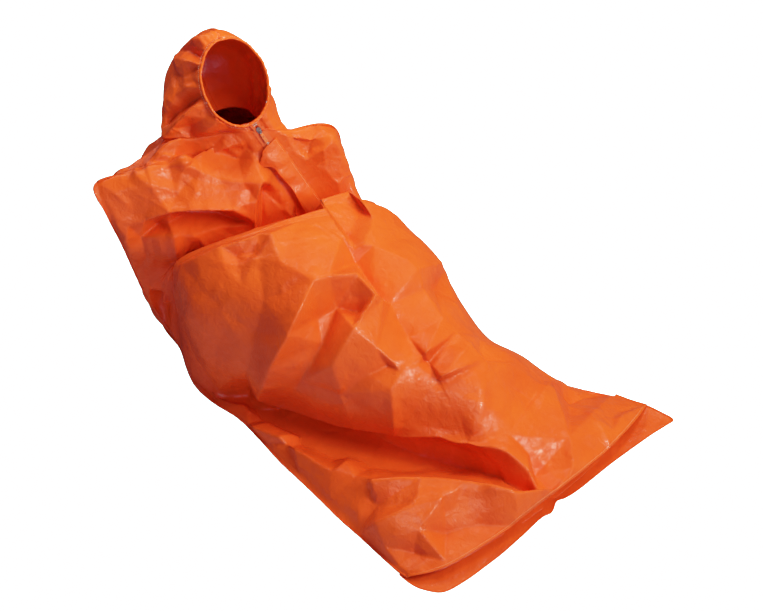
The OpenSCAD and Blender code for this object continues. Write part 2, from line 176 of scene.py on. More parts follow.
# Back panel: x y z from the wearer's left to the right; each row is closed by the front's edges.
BACK = read_lines("""
262 380 5, 236 520 5, 160 650 5, 60 694 5, -60 688 5, -170 630 5, -250 540 5 |
250 400 140, 240 520 140, 165 655 140, 60 696 140, -70 690 140, -190 640 140, -268 580 135 |
242 430 316, 236 515 316, 170 640 316, 70 690 316, -70 690 316, -200 655 316, -285 610 316 |
234 420 410, 224 490 380, 165 625 425, 70 676 425, -70 684 420, -205 658 415, -300 618 420 |
200 402 446, 188 468 408, 150 590 436, 65 640 455, -60 655 450, -190 644 450, -285 622 470 |
154 410 474, 154 462 442, 135 565 460, 72 610 470, -28 632 478, -135 620 482, -195 598 490 |
84 440 526, 84 500 520, 92 545 516, 66 584 514, 10 602 514, -60 606 520, -112 594 530""")
BACK = np.array([np.vstack([edge_row[-1:], row, edge_row[:1]])
                 for edge_row, row in zip(FRONT[SIDE_ROW:], BACK)])
NECK = np.vstack([FRONT[-1][[9, 7, 5, 3, 0]], BACK[-1][7:0:-1], FRONT[-1][[12, 11, 10]]])
# angle round the rim for each neck point: 0 at the chin, through the wearer's right, and back
NECK_ANGLES = [0, 22, 44, 66, 96, 122, 146, 168, 192, 216, 240, 264, 300, 325, 345]
# Hood: a line of points for each of these angles, from the neck to the rim:
# to the wearer's left, up the opening, back from it.
HOOD = np.array(read_lines("""
23 -128 9, 18 -124 7, 12 -119 4, 7 -115 0, 3 -111 -2 |
-20 -117 30, -24 -114 25, -28 -110 17, -31 -107 9, -32 -104 2 |
-75 -104 54, -77 -100 46, -76 -94 34, -72 -87 20, -66 -81 7 |
-122 -90 78, -122 -80 70, -117 -68 56, -106 -57 36, -92 -49 15 |
-170 -58 106, -157 -26 104, -142 -4 94, -123 6 68, -102 10 33 |
-150 -30 140, -130 18 132, -110 48 114, -98 62 84, -86 63 40 |
-122 -15 176, -112 42 174, -90 82 148, -70 102 104, -60 104 50 |
-42 0 212, -42 62 214, -36 104 180, -24 128 120, -16 134 62 |
36 0 212, 36 62 214, 34 102 180, 30 122 120, 30 126 52 |
92 -20 180, 94 38 180, 84 76 156, 74 96 108, 62 98 46 |
88 -50 128, 106 0 140, 104 40 124, 96 60 88, 84 62 40 |
92 -95 80, 106 -55 96, 110 -20 92, 105 0 66, 95 6 32 |
100 -138 34, 98 -115 40, 95 -92 42, 90 -72 34, 81 -60 16 |
72 -136 22, 70 -128 24, 66 -118 22, 60 -106 16, 53 -96 7 |
46 -134 14, 42 -130 14, 37 -123 11, 31 -115 6, 27 -110 1"""))

# ---- fold tables on the sheet ----
# Facet lines: u v height. Outlines: u v, at height zero.
LEG_OUTLINE = """
180 264, 205 250, 225 243, 262 232, 300 222, 340 210, 371 200, 420 235, 449 261, 458 295,
479 337, 483 362, 518 363, 542 382, 562 381, 588 387, 615 393, 647 405, 647 411, 613 457,
586 484, 554 502, 518 526, 485 545, 445 561, 409 571, 388 562, 358 534, 328 506, 301 477,
264 443, 249 424, 216 411, 209 398, 183 370, 173 330, 172 300, 180 264"""
# in turn: tuck over the lap, hump of the knees, star over the shins,
# valley and slack ridges on the near side of the legs, foot end
LEG_FACETS = """
205 250 0, 224 252 10, 237 257 2, 254 254 2, 273 241.5 11, 262 240 9, 250 244.5 9, 224 252 10 |
184 266 4, 202 262 8, 224 252 10 | 273 241.5 11, 260 262 7, 243 286 2 |
228 272 5, 206 292 0, 230 320 -6, 212 352 -7 | 255 335 -6, 245 375 -4 | 264 300 0 |

273 241.5 11, 282 270 14, 312 288 17, 327 282 14, 353 281 14, 371 300 16, 381 301 6, 392 302 -4 |
318 318 -6 | 338 306 -9, 322 346 -7, 300 384 -3 | 360 312 -4 |
351 329 14, 375.5 348 8, 391.5 361 6 | 371 300 16, 351 329 14 |
340 240 4, 358 259 -8, 375.5 284 -6, 383 299 -5, 392 302 -4 |
371 250 6, 404 268 10, 412 275 10, 392 302 -4 | 441 286 -8 |
450 264 0, 441 286 -8, 459 303 0 | 412 275 10, 441 286 -8 |
392 302 -4, 411 335 -6, 424.6 359 -6 | 422 290 2, 440 320 4, 454 334 3 |
312 288 17, 291 331 13, 272 361 9, 259 395 5 |
351 329 14, 332 361 7, 343 391 3 | 368 373 3, 388 365 0 |

430 361 -6, 466 349 8, 483 362 0 | 430 361 -6, 440.6 378 6, 481 362 6 |
430 361 -6, 399 369 6, 391.5 382 12, 398 423 14 | 430 361 -6, 438 381 -2, 398 423 14 |
424 354 4, 430 361 -6 | 391.5 382 12, 418 366 2, 424 354 4 |
398 423 14, 442.8 429 10, 474.8 441 14, 491.5 448 14, 505.8 456.5 14, 526 477 10, 538.5 491 4 |
438 381 -2, 482 363 6, 475 440 12 | 418 395 6, 398 423 14 |

209 397 -4, 244 402 -14, 280 409 -20, 315 418 -24, 351 431 -26, 379 441 -26, 421 452 -22,
465 462 -16, 500 474 -12, 530 490 -8 |
209 397 -2, 244 403 -2, 277 406.5 2, 340 420 8, 398 423 14 |
257 429 8, 283 441 8, 297 451 8, 336 475 8, 358 481 8, 372 489 14, 373 493 20, 420 498 22,
475 503 24, 508 503 22, 540 495 16, 555 491 6 |
384 530 18, 416 520 19, 442 512 20, 463 505 22, 475 503 24 | 440 516 20, 420 536 10, 413 552 -4 |
446 532 -4 | 479 524 -2 | 380 508 4, 384 530 18, 388 548 6, 400 566 0 | 367 487 10, 380 508 4 |
262 443 2, 290 445 -6, 312 452 -4, 297 451 8 | 330 455 -8, 346 466 6, 341 474 8 |

505.8 437 8, 565 445 12, 570 471 8, 550.7 492 2, 537 491 4 |
505.8 437 8, 526 455 4, 536.4 473 -6, 537 491 4 |
565 445 12, 536.4 473 -6 | 475 440 12, 505.8 437 8 |
562 381 2, 571 400 -8, 586 395 -4, 615 393 0 | 548 384 4, 571 400 -8 |
571 401 -4, 591 420 8, 610 436 8, 618 441 6 | 612 420 2, 622 420 6, 619 413 0 |
591 420 8, 622 420 6, 647 405 0"""
CHEST_OUTLINE = """
96 182, 103 214, 134 274, 152 313, 172 330, 172 300, 180 264, 205 250, 225 243, 262 232,
300 222, 340 210, 371 200, 351 176, 345 158, 337 129, 316 124, 304 128, 288 132, 259 130,
225 134, 190 138, 161 144, 148 162, 143 168, 129 168, 96 182"""
# in turn: roll and trough under the neck seam, upright crease from the peak and the face beside
# it, arc over the lap, wing and near side, far side beside the zip
CHEST_FACETS = """
148 162 2, 164.5 153 6, 184 141 10, 203 134.5 10, 222 132 8, 242 129 5 |
168 160 -2, 190 148 -10, 205 145 -13, 220 158 -12, 240 162 -10, 248 150 -6 |
148 164 2, 166 158 4, 185 157 5, 200 168 6, 218 176 7, 240 177 11, 258 176.6 18 |

258 176.6 18, 253 195 15, 252 215 12, 252 234 8 | 258 176.6 18, 268 180 10, 284 192 6, 294 199 2 |
262 190 -2, 262 228 -4 | 294 214 -6 | 280 205 0, 292 214 6, 280 208 2 |

103 214 0, 128 224 4, 146 218 8, 166 207 15, 185 203 20, 205 203 21, 229 204 20, 243 212 15,
250.5 219 10 |
160 226 -12, 190 214 -14, 218 215 -14, 240 222 -8 | 182 224 0, 194 232 8, 205 244 8 |
194 232 8, 222 226 2, 250 220 6 | 205 244 6, 232 236 2, 252 234 8 |

129 168 4, 150 184 8, 174 193 8, 185 203 16 | 110 190 4 | 103 214 0, 146 218 8 |
166 207 14, 170 232 8, 176 262 6 | 128 232 8, 140 238 -4, 132 250 4 | 146 260 -4 |
160 295 -10, 163 308 -8 | 150 285 6 | 168 300 6 | 159.9 306 -8, 166 290 2, 181 265 4 |

278 153.5 6, 278 168 12, 277 178 6, 288 188 -6, 293 196 -10, 297 201 -4 | 254 160 2 |
278 153.5 6, 292 166 8, 300 171 4, 303 201 6, 296 214 0 | 288 188 -6, 300 184 8, 300 171 4 |
316 197 8, 319 217 4 | 303 201 6, 316 197 8 | 308 204 -6 | 329 139 8, 338 152 4, 349.5 173 2 |
300 171 4, 329 139 8 | 310 150 -4 | 316 197 8, 340 180 4"""
HOOD_FACETS = """
162 142 0, 162 128 0, 162 110 0, 166 93 0, 172 77 0, 174 61 0, 176 53 0, 186 49 -4, 193 41 0,
208 32 0, 216 29 0, 226 30 0, 235 36 0, 238 40 0, 220 43 0, 207 53 0, 203 70 0, 205 90 0,
208 100 0, 219 110 0, 230 119 0, 240 124 0, 256 126 0, 225 133 0, 190 138 2, 162 146 0 |
206 98 1, 190 113 7, 174 126 8, 162 142 3 | 200 96 -3, 184 106 -6, 172 118 -5 |
186 49 -5, 196 54 -7, 205 55 -2 | 190 44 2, 203 42 5, 216 36 4 | 178 60 3, 190 61 4, 202 66 2 |
182 78 -3, 176 96 2, 192 86 2 | 196 66 -2 | 205 118 0, 190 126 -3, 215 122 4"""
# Faint straight creases left by packing: start u v, end u v, height.
CREASES = """
312 222 360 260 1.6, 360 260 371 300 1.2, 328 370 367 437 1.6, 367 437 383 540 1.4,
482 347 517 370 1.0, 517 370 583 413 1.6, 583 413 612 455 1.6, 262 443 330 486 1.4,
230 262 330 236 0.9, 205 268 285 262 1.0, 300 330 330 452 1.0, 440 380 470 437 1.0,
505 380 508 452 1.0, 545 390 520 452 0.9, 400 500 446 560 1.2, 470 470 540 500 0.8,
128 186 235 240 1.4, 150 250 190 222 1.2, 212 172 206 200 0.9, 320 140 330 205 1.2,
300 146 345 160 0.9, 112 220 150 300 1.0, 232 184 246 206 0.8, 262 215 330 196 0.8"""
# Sharp ridges (valleys below zero): height and half width first, then u v along the ridge.
LEG_RIDGES = """
9 15, 313 287, 290 330, 270 370, 258 398 | 5 9, 351 330, 377 348, 391 361 |
-7 13, 393 307, 413 353, 426 358 | 4 8, 328 370, 362 423 | -7 9, 360 263, 373 283, 380 300 |
7 10, 280 260, 318 286, 353 283, 371 299 | 4 10, 413 290, 450 262 | 7 12, 473 367, 475 440 |
9 10, 397 423, 440 431, 477 441, 507 457, 538 484 | 6 8, 503 437, 522 462, 537 485 |
6 9, 567 443, 570 487 | 7 8, 376 490, 420 497, 475 503, 520 500 |
8 8, 387 527, 427 513, 480 505 | 5 8, 413 550, 433 530, 460 525, 490 537 |
5 8, 347 447, 357 477 | 5 6, 323 450, 337 472 | 6 6, 280 433, 296 451 |
-6 6, 563 383, 580 400, 610 420 | -6 5, 543 383, 570 400 | 5 8, 583 413, 613 450 |
4 7, 640 410, 622 432, 600 452 | 8 9, 391 382, 398 423 | 6 7, 430 361, 466 349 |
7 6, 430 361, 440 378, 480 362 | 6 6, 399 370, 424 356 | 4 6, 424 372, 405 396 |
3 6, 452 372, 440 395 | 3 7, 440 318, 452 340 | -6 6, 228 255, 246 262, 270 243 |
4 7, 206 262, 236 268, 262 262 | 5 8, 243 285, 262 258 | 3 9, 188 275, 190 330 |
3 10, 215 300, 235 345 | 4 8, 335 355, 345 392 | 4 6, 372 365, 392 372 |
3 8, 300 405, 330 398, 352 400 | 3 9, 500 390, 530 430 | 3 7, 560 415, 548 440 |
-4 8, 470 462, 500 474 | -5 8, 330 425, 352 432, 380 442 | 5 6, 536 455, 550 470 |
4 5, 548 470, 562 487 | 3 6, 430 560, 470 548 | 4 6, 492 515, 530 505 | 4 8, 350 500, 378 532"""
CHEST_RIDGES = """
8 8, 146 165, 175 159, 200 169, 230 177, 257 177 | 11 8, 257 177, 252 205, 252 234 |
7 6, 257 177, 277 180, 292 192 | -9 5, 280 155, 280 170, 290 190, 296 202 |
7 8, 300 170, 297 192, 300 215 | 7 10, 300 170, 330 137 | 6 6, 330 137, 340 152, 349 172 |
11 9, 146 217, 165 206, 205 203, 240 211, 250 222 | 8 7, 187 227, 205 247 |
6 6, 200 227, 250 220 | 8 8, 187 205, 172 227, 176 262 | 7 8, 127 170, 152 182, 187 192 |
5 8, 106 217, 130 221, 146 217 | 5 6, 140 285, 160 297 | 8 6, 179 262, 170 284, 162 305 |
-8 5, 252 155, 245 138 | 8 6, 245 128, 215 132, 185 140, 162 151, 148 163 |
-6 7, 240 160, 205 146, 176 153 | 4 4, 212 150, 226 164 | 4 4, 225 150, 243 160 |
4 6, 262 190, 268 222 | 6 5, 282 205, 292 214 | 6 6, 316 197, 320 218 |
4 8, 305 196, 330 186 | 5 6, 120 238, 142 234 | -5 7, 150 235, 158 270 |
4 7, 110 190, 128 205 | 3 7, 185 172, 196 190 | -5 8, 310 150, 322 172 | 4 5, 222 240, 248 232"""
HOOD_RIDGES = """
9 6, 206 99, 190 112, 174 127, 163 140 | -10 8, 203 94, 186 105, 170 118, 160 132 |
-8 7, 186 50, 196 57, 206 58 | 6 7, 190 43, 203 41, 218 35 | 6 8, 176 58, 184 78, 195 97 |
5 5, 163 142, 190 134, 222 130 | 4 5, 178 72, 190 62, 203 64 |
5 7, 167 95, 178 108, 176 122 | -4 5, 184 84, 198 80"""
LEG_SCALE, CHEST_SCALE, HOOD_SCALE = 3.0, 2.7, 2.6     # drawn facet heights to millimetres


# ---- smooth surfaces ----
def catmull_rom(points, params, closed=False):
    """Catmull-Rom through the rows of points, one row to each whole parameter."""
    points, params = np.asarray(points, float), np.asarray(params, float)
    count = len(points)
    k = np.floor(params).astype(int)
    if not closed:
        k = np.clip(k, 0, count - 2)
    t = (params - k).reshape((-1,) + (1,) * (points.ndim - 1))

    def row(i):
        return points[i % count] if closed else points[np.clip(i, 0, count - 1)]

    a, b, c, d = row(k - 1), row(k), row(k + 1), row(k + 2)
    return 0.5 * (2 * b + (c - a) * t + (2 * a - 5 * b + 4 * c - d) * t ** 2
                  + (3 * b - 3 * c + d - a) * t ** 3)


def loft(net, row_params, column_params, closed=False):
    grid = catmull_rom(net, row_params)
    return catmull_rom(grid.transpose(1, 0, 2), column_params, closed).transpose(1, 0, 2)


def spaced(net, step, axis):
    """Parameters along one axis of a net, about step apart where its lines are long."""
    if axis == 1:
        net = net.transpose(1, 0, 2)
    spans = np.linalg.norm(np.diff(net, axis=0), axis=2)
    params = [0.0]
    for i, length in enumerate(0.5 * (spans.max(1) + spans.mean(1))):
        parts = max(2, int(round(length / step)))
        params += list(i + np.arange(1, parts + 1) / parts)
    return np.array(params)


def loft_panel(net, step):
    rows = spaced(net, step, 0)
    grid = loft(net, rows, spaced(net, step, 1))
    grid[:, :, 2] = np.maximum(grid[:, :, 2], GROUND_GAP)
    return grid, rows


def rim_point(angle, grow=0.0, forward=0.0):
    a = np.radians(angle)
    return (HOOD_MID - np.multiply.outer(np.sin(a), HOOD_LEFT) * (RIM_WIDE + grow)
            - np.multiply.outer(np.cos(a), HOOD_UP) * (RIM_HIGH + grow) + HOOD_OUT * forward)


# ---- fields over grids ----
def ease(x):
    return np.clip(x, 0, 1) ** 2 * (3 - 2 * np.clip(x, 0, 1))


def blur(grid, times=1, closed=False):
    """Passes of a 1 2 1 filter along both directions of a grid."""
    grid = np.array(grid, float)
    for _ in range(times):
        p = np.concatenate([grid[:1], grid, grid[-1:]], 0)
        grid = 0.25 * p[:-2] + 0.5 * p[1:-1] + 0.25 * p[2:]
        ends = (grid[:, -1:], grid[:, :1]) if closed else (grid[:, :1], grid[:, -1:])
        p = np.concatenate([ends[0], grid, ends[1]], 1)
        grid = 0.25 * p[:, :-2] + 0.5 * p[:, 1:-1] + 0.25 * p[:, 2:]
    return grid


def grid_normals(grid, closed=False):
    """Outward normals, smoothed; closed grids run the other way round."""
    wide = np.concatenate([grid[:, -2:], grid, grid[:, :2]], 1) if closed else grid
    n = np.cross(np.gradient(wide, axis=1), np.gradient(wide, axis=0))
    n = n[:, 2:-2] if closed else n
    for _ in range(6):
        n = n / np.maximum(np.linalg.norm(n, axis=2, keepdims=True), 1e-9)
        n = blur(n, 1, closed)
    n /= np.maximum(np.linalg.norm(n, axis=2, keepdims=True), 1e-9)
    return -n if closed else n


class Facets:
    """Piecewise flat heights over a box, from lines of u v height points joined by creases."""

    def __init__(self, lines, box, step, soft):
        points, heights, edges, index = [], [], [], {}
        for line in lines:
            previous = None
            for u, v, height in line:
                key = (round(u, 2), round(v, 2))
                if key not in index:
                    index[key] = len(points)
                    points.append((u, v))
                    heights.append(height)
                if previous is not None and previous != index[key]:
                    edges.append((previous, index[key]))
                previous = index[key]
        for u in (box[0], box[2]):
            for v in (box[1], box[3]):
                points.append((u, v))
                heights.append(0.0)
        result = delaunay_2d_cdt([Vector(p) for p in points], edges, [], 0, 1e-4)
        corners = np.array([tuple(p) for p in result[0]])
        start = np.array([points[a] for a, b in edges])
        end = np.array([points[b] for a, b in edges])
        start_h = np.array([heights[a] for a, b in edges])
        end_h = np.array([heights[b] for a, b in edges])
        corner_h = np.zeros(len(corners))
        for i, (p, sources) in enumerate(zip(corners, result[3])):
            if len(sources):
                corner_h[i] = heights[sources[0]]
                continue
            # a crossing of creases takes its height from the lines through it
            along = end - start
            t = np.clip(((p - start) * along).sum(1) / np.maximum((along ** 2).sum(1), 1e-9), 0, 1)
            gap = np.linalg.norm(start + t[:, None] * along - p, axis=1)
            near = gap < gap.min() + 0.05
            corner_h[i] = (start_h + t * (end_h - start_h))[near].mean()
        self.box, self.step = box, step
        columns = int((box[2] - box[0]) / step) + 1
        rows = int((box[3] - box[1]) / step) + 1
        raster = np.zeros((rows, columns))
        us, vs = box[0] + np.arange(columns) * step, box[1] + np.arange(rows) * step
        for face in result[2]:
            for k in range(1, len(face) - 1):
                tri = [face[0], face[k], face[k + 1]]
                self.fill(raster, us, vs, corners[tri], corner_h[tri])
        self.raster = blur(raster, soft)

    def fill(self, raster, us, vs, tri, tri_h):
        """Write one flat triangle into the raster."""
        a, b, d = tri
        low, high = tri.min(0), tri.max(0)
        (i0, j0), (i1, j1) = [
            [to_cell((limit[m] - self.box[m]) / self.step) for m in (0, 1)]
            for limit, to_cell in ((low, int), (high, lambda c: int(np.ceil(c)) + 1))]
        x, y = np.meshgrid(us[i0:i1], vs[j0:j1])
        area = (b[0] - a[0]) * (d[1] - a[1]) - (d[0] - a[0]) * (b[1] - a[1])
        if abs(area) < 1e-9 or x.size == 0:
            return
        s = ((x - a[0]) * (d[1] - a[1]) - (d[0] - a[0]) * (y - a[1])) / area
        t = ((b[0] - a[0]) * (y - a[1]) - (x - a[0]) * (b[1] - a[1])) / area
        inside = (s >= -1e-6) & (t >= -1e-6) & (s + t <= 1 + 1e-6)
        z = tri_h[0] + s * (tri_h[1] - tri_h[0]) + t * (tri_h[2] - tri_h[0])
        raster[j0:j1, i0:i1][inside] = z[inside]

    def at(self, u, v):
        g = self.raster
        x = np.clip((u - self.box[0]) / self.step, 0, g.shape[1] - 1.001)
        y = np.clip((v - self.box[1]) / self.step, 0, g.shape[0] - 1.001)
        i, j = x.astype(int), y.astype(int)
        a, b = x - i, y - j
        return ((g[j, i] * (1 - a) + g[j, i + 1] * a) * (1 - b)
                + (g[j + 1, i] * (1 - a) + g[j + 1, i + 1] * a) * b)


def sheet_facets(text, soft, outline=None):
    lines = read_lines(text)
    if outline:
        lines.insert(0, np.pad(read_lines(outline, 2)[0], ((0, 0), (0, 1))))
    return Facets(lines, SHEET_BOX, SHEET_STEP, soft)


def crumple(seed, n=22):
    """Random flat facets one unit across, mirrored past the edges of the field."""
    rng = np.random.default_rng(seed)
    points = []
    for j in range(n + 1):
        for i in range(n + 1):
            x = i + (rng.uniform(-0.42, 0.42) if 0 < i < n else 0)
            y = j + (rng.uniform(-0.42, 0.42) if 0 < j < n else 0)
            points.append([(x, y, rng.uniform(-1, 1))])
    field = Facets(points, (0, 0, n, n), 0.05, 2)

    def mirror(c):
        return np.abs((c + n) % (2 * n) - n)

    return lambda s, t: field.at(mirror(s), mirror(t))


def arc(grid, axis):
    """Distance along one axis of a grid, averaged over the other."""
    mean = np.linalg.norm(np.diff(grid, axis=axis), axis=2).mean(1 - axis)
    s = np.concatenate([[0], np.cumsum(mean)])
    return s[:, None] if axis == 0 else s[None, :]


def wrinkle(grid, seed, sizes, closed=False, turn=25.0):
    """Sum of facet fields over a grid; sizes lists (facet size, height, stretch)."""
    s, t = np.broadcast_arrays(arc(grid, 1), arc(grid, 0))
    out = np.zeros(grid.shape[:2])
    for k, (size, height, stretch) in enumerate(sizes):
        a = rad(turn * (k + 1) + 17 * seed)
        x, y = s * math.cos(a) + t * math.sin(a), -s * math.sin(a) + t * math.cos(a)
        f = crumple(seed * 10 + k)(x / size / stretch + 31.7, y / size + 12.3)
        if closed:
            f = f * np.clip(np.minimum(s, s.max() - s) / 60.0, 0, 1)
        out += height * f
    return out


def segment_gap(uv, a, b):
    """Fraction along the segment a to b, and distance from it."""
    t = np.clip(((uv - a) @ (b - a)) / ((b - a) @ (b - a)), 0, 1)
    return t, np.linalg.norm(uv - a - t[..., None] * (b - a), axis=-1)


def creases(uv):
    height = np.zeros(uv.shape[:2])
    for row in read_lines(CREASES, 5)[0]:
        t, gap = segment_gap(uv, row[:2], row[2:4])
        height += row[4] * ease(np.minimum(t, 1 - t) * 5) * np.exp(-(gap / 1.5) ** 2)
    return height


def read_ridges(text):
    return [(line[1:], *line[0]) for line in read_lines(text, 2)]


def ridges(uv, table, soft=0.5):
    """Tent-shaped ridges with tapered ends; table lists (points, height, half width)."""
    out = np.zeros(uv.shape[:2])
    for points, height, half_width in table:
        points = np.array(points, float)
        lengths = np.linalg.norm(np.diff(points, axis=0), axis=1)
        run = np.concatenate([[0], np.cumsum(lengths)])
        best, where = np.full(uv.shape[:2], 1e9), np.zeros(uv.shape[:2])
        for k in range(len(points) - 1):
            t, gap = segment_gap(uv, points[k], points[k + 1])
            nearer = gap < best
            best = np.where(nearer, gap, best)
            where = np.where(nearer, run[k] + t * (run[k + 1] - run[k]), where)
        taper = ease(np.minimum(where, run[-1] - where) / (0.3 * run[-1]) + 0.15)
        out += height * taper * np.clip(1 - np.sqrt(best ** 2 + soft ** 2) / half_width, 0, 1)
    return out


def random_folds(grid, seed, count, length, width, height, lean, closed=False):
    """Ridges strewn over a grid by distance along it; lean is (mean angle, spread) in degrees."""
    rng = np.random.default_rng(seed)
    s, t = np.broadcast_arrays(arc(grid, 1), arc(grid, 0))
    table = []
    for _ in range(count):
        middle = vec(rng.uniform(0, s.max()), rng.uniform(0, t.max()))
        angle = rad(rng.normal(*lean))
        long = rng.uniform(*length)
        bend = rng.normal(0, 0.15) * long
        along = vec(math.cos(angle), math.sin(angle))
        across = vec(-math.sin(angle), math.cos(angle))
        half_width = rng.uniform(*width)
        rise = rng.uniform(*height) * (1 if rng.random() < 0.7 else -1)
        points = [middle - along * long / 2, middle + across * bend, middle + along * long / 2]
        table.append((points, rise, half_width))
    folds = ridges(np.stack([s, t], -1), table, 1.5)
    return folds * ease(np.minimum(s, s.max() - s) / 50) if closed else folds


def edge_fade(grid, top, bottom, sides):
    """Falls to zero at the grid's edges over these distances (0 for no fade)."""
    s, t = arc(grid, 1), arc(grid, 0)
    fade = np.ones(grid.shape[:2])
    if sides:
        fade = fade * ease(np.minimum(s, s.max() - s) / sides)
    if bottom:
        fade = fade * ease(t / bottom)
    if top:
        fade = fade * ease((t.max() - t) / top)
    return fade


def under_zip(points):
    """Keeps cloth just behind the plane of the zip where the zip lies on it."""
    x, y, z = np.moveaxis(to_zip(points), -1, 0)
    depth = -0.7 + 1.2 * ease((x - 21.5) / 2.5) * ease((-40 - y) / 8)
    hold = ease((62 - abs(x)) / 34) * ease((46 - y) / 12) * ease((y + 300) / 24)
    hold = hold * (np.abs(z) < 60)
    points = points + (hold * (depth - z))[..., None] * CHEST_OUT
    # room for the flap when it lies folded back beside the zip
    x, y, z = np.moveaxis(to_zip(points), -1, 0)
    cap = -0.5 + 0.0036 * np.maximum(x - 24, 0) ** 2
    side = (x > 23) * ease((104 - x) / 12) * ease((-26 - y) / 12) * ease((y + 292) / 16)
    return points - (side * np.clip(z - cap, 0, 60))[..., None] * CHEST_OUT


def view_facing(normals):
    return np.clip(-(normals @ LOOK) * 2.5, 0, 1)


# ---- folded skins ----
# front: drawn folds where it faces the camera, random ones elsewhere
base_front, front_rows = loft_panel(FRONT, STEP)
front_normals = grid_normals(base_front)
uv = to_sheet(base_front)
facing = view_facing(front_normals)
on_legs = ease((12.3 - front_rows) / 0.8)[:, None]
on_body = ease((front_rows - 12.7) / 0.8)[:, None]
leg_map = sheet_facets(LEG_FACETS, 0, LEG_OUTLINE)
chest_map = sheet_facets(CHEST_FACETS, 2, CHEST_OUTLINE)
drawn = facing * (LEG_SCALE * on_legs * leg_map.at(uv[..., 0], uv[..., 1])
                  + CHEST_SCALE * on_body * chest_map.at(uv[..., 0], uv[..., 1]))
drawn += facing * (creases(uv) + 0.6 * on_legs * ridges(uv, read_ridges(LEG_RIDGES))
                   + 0.8 * on_body * ridges(uv, read_ridges(CHEST_RIDGES)))
small = wrinkle(base_front, 3, [(125, 4.0, 1.8), (58, 2.4, 1.8), (27, 0.9, 1.5), (13, 0.2, 1.3)])
small += random_folds(base_front, 31, count=150, length=(40, 130), width=(9, 24),
                      height=(1.2, 4.0), lean=(60, 60)) * (1 - 0.8 * facing)
small = small * (0.45 + 0.75 * ease(0.5 + wrinkle(base_front, 4, [(160, 0.7, 1.0)])))
front_fade = edge_fade(base_front, top=14, bottom=0, sides=16)
front = base_front + front_normals * ((drawn + small) * front_fade)[..., None]
front[1:-1, 1:-1] = 0.75 * front[1:-1, 1:-1] + 0.25 * blur(front)[1:-1, 1:-1]
front = under_zip(front)
front[..., 2] = np.maximum(front[..., 2], GROUND_GAP)

# back: long upright folds
base_back, _ = loft_panel(BACK, STEP * 1.5)
folds = random_folds(base_back, 41, count=26, length=(180, 420), width=(30, 62),
                     height=(9, 20), lean=(88, 16))
folds += random_folds(base_back, 42, count=70, length=(60, 170), width=(12, 30),
                      height=(3, 8), lean=(75, 50))
folds *= edge_fade(base_back, top=90, bottom=0, sides=90)
folds += random_folds(base_back, 43, count=90, length=(30, 80), width=(7, 14),
                      height=(1.5, 3.5), lean=(40, 70))
folds = folds + wrinkle(base_back, 5, [(150, 9.0, 2.0), (72, 4.0, 2.0), (32, 1.8, 1.6),
                                       (15, 0.6, 1.3)], turn=40)
back_fade = edge_fade(base_back, top=60, bottom=14, sides=40)
back = base_back + grid_normals(base_back) * (back_fade * folds)[..., None]
back[1:-1, 1:-1] = blur(back)[1:-1, 1:-1]
back[..., 2] = np.maximum(back[..., 2], GROUND_GAP)

# hood: from the neck seam over the head to the rim of the face opening
hood_net = (HOOD_MID + HOOD[..., :1] * HOOD_LEFT + HOOD[..., 1:2] * HOOD_UP
            - HOOD[..., 2:] * HOOD_OUT)
hood_net = np.concatenate([NECK[:, None], hood_net, rim_point(NECK_ANGLES)[:, None]], 1)
hood_net = hood_net.transpose(1, 0, 2)
hood_angles = np.linspace(0, 360, 288, endpoint=False)
base_hood = loft(hood_net, spaced(hood_net, 4.0, 0),
                 np.interp(hood_angles, NECK_ANGLES + [360], np.arange(16)), closed=True)
hood_normals = grid_normals(base_hood, closed=True)
uv = to_sheet(base_hood)
facing = view_facing(hood_normals)
small = wrinkle(base_hood, 7, [(74, 5.0, 1.6), (36, 1.6, 1.6), (17, 0.4, 1.3)], closed=True,
                turn=33)
small += random_folds(base_hood, 51, count=46, length=(50, 130), width=(10, 24),
                      height=(2.5, 6.0), lean=(70, 35), closed=True) * (1 - 0.7 * facing)
# gathers behind the rim
rim_gap = arc(base_hood, 0).max() - arc(base_hood, 0)
gathers = 1.5 * np.sin(np.radians(hood_angles) * 44 + 2.0 * np.sin(np.radians(hood_angles) * 5))
small += gathers[None, :] * np.exp(-rim_gap / 13) * ease(rim_gap / 3)
drawn = facing * (HOOD_SCALE * sheet_facets(HOOD_FACETS, 1).at(uv[..., 0], uv[..., 1])
                  + ridges(uv, read_ridges(HOOD_RIDGES)))
hood_fade = edge_fade(base_hood, top=4, bottom=8, sides=0)
hood = base_hood + hood_normals * (hood_fade * (drawn + small))[..., None]
hood[1:-1] = 0.5 * hood[1:-1] + 0.5 * blur(hood, 1, True)[1:-1]
hood = under_zip(hood)
# dip behind the top of the zip
x, y, z = np.moveaxis(to_zip(hood), -1, 0)
dip = ease((24 - abs(x)) / 9) * ease((y + 24) / 10) * ease((32 - y) / 10) * (np.abs(z) < 12)
hood = hood - (3.3 * dip)[..., None] * CHEST_OUT
hood[0], hood[-1] = base_hood[0], base_hood[-1]


# ---- mesh builders ----
parts = {}                                    # objects made here, by name


def grid_faces(rows, columns, closed=False, flip=False, keep=None):
    faces = []
    for i in range(rows - 1):
        for j in range(columns if closed else columns - 1):
            if keep is not None and not keep[i, j]:
                continue
            a, b = i * columns + j, i * columns + (j + 1) % columns
            c, d = b + columns, a + columns
            faces.append((a, d, c, b) if flip else (a, b, c, d))
    return faces


def tube_faces(rings, sides, closed=False, first=0):
    """Faces between rings of points; an open tube gets end caps."""
    faces = []
    for i in range(rings if closed else rings - 1):
        here, following = first + i * sides, first + (i + 1) % rings * sides
        for j in range(sides):
            k = (j + 1) % sides
            faces.append((here + j, here + k, following + k, following + j))
    if not closed:
        faces.append(tuple(first + j for j in range(sides - 1, -1, -1)))
        faces.append(tuple(first + (rings - 1) * sides + j for j in range(sides)))
    return faces


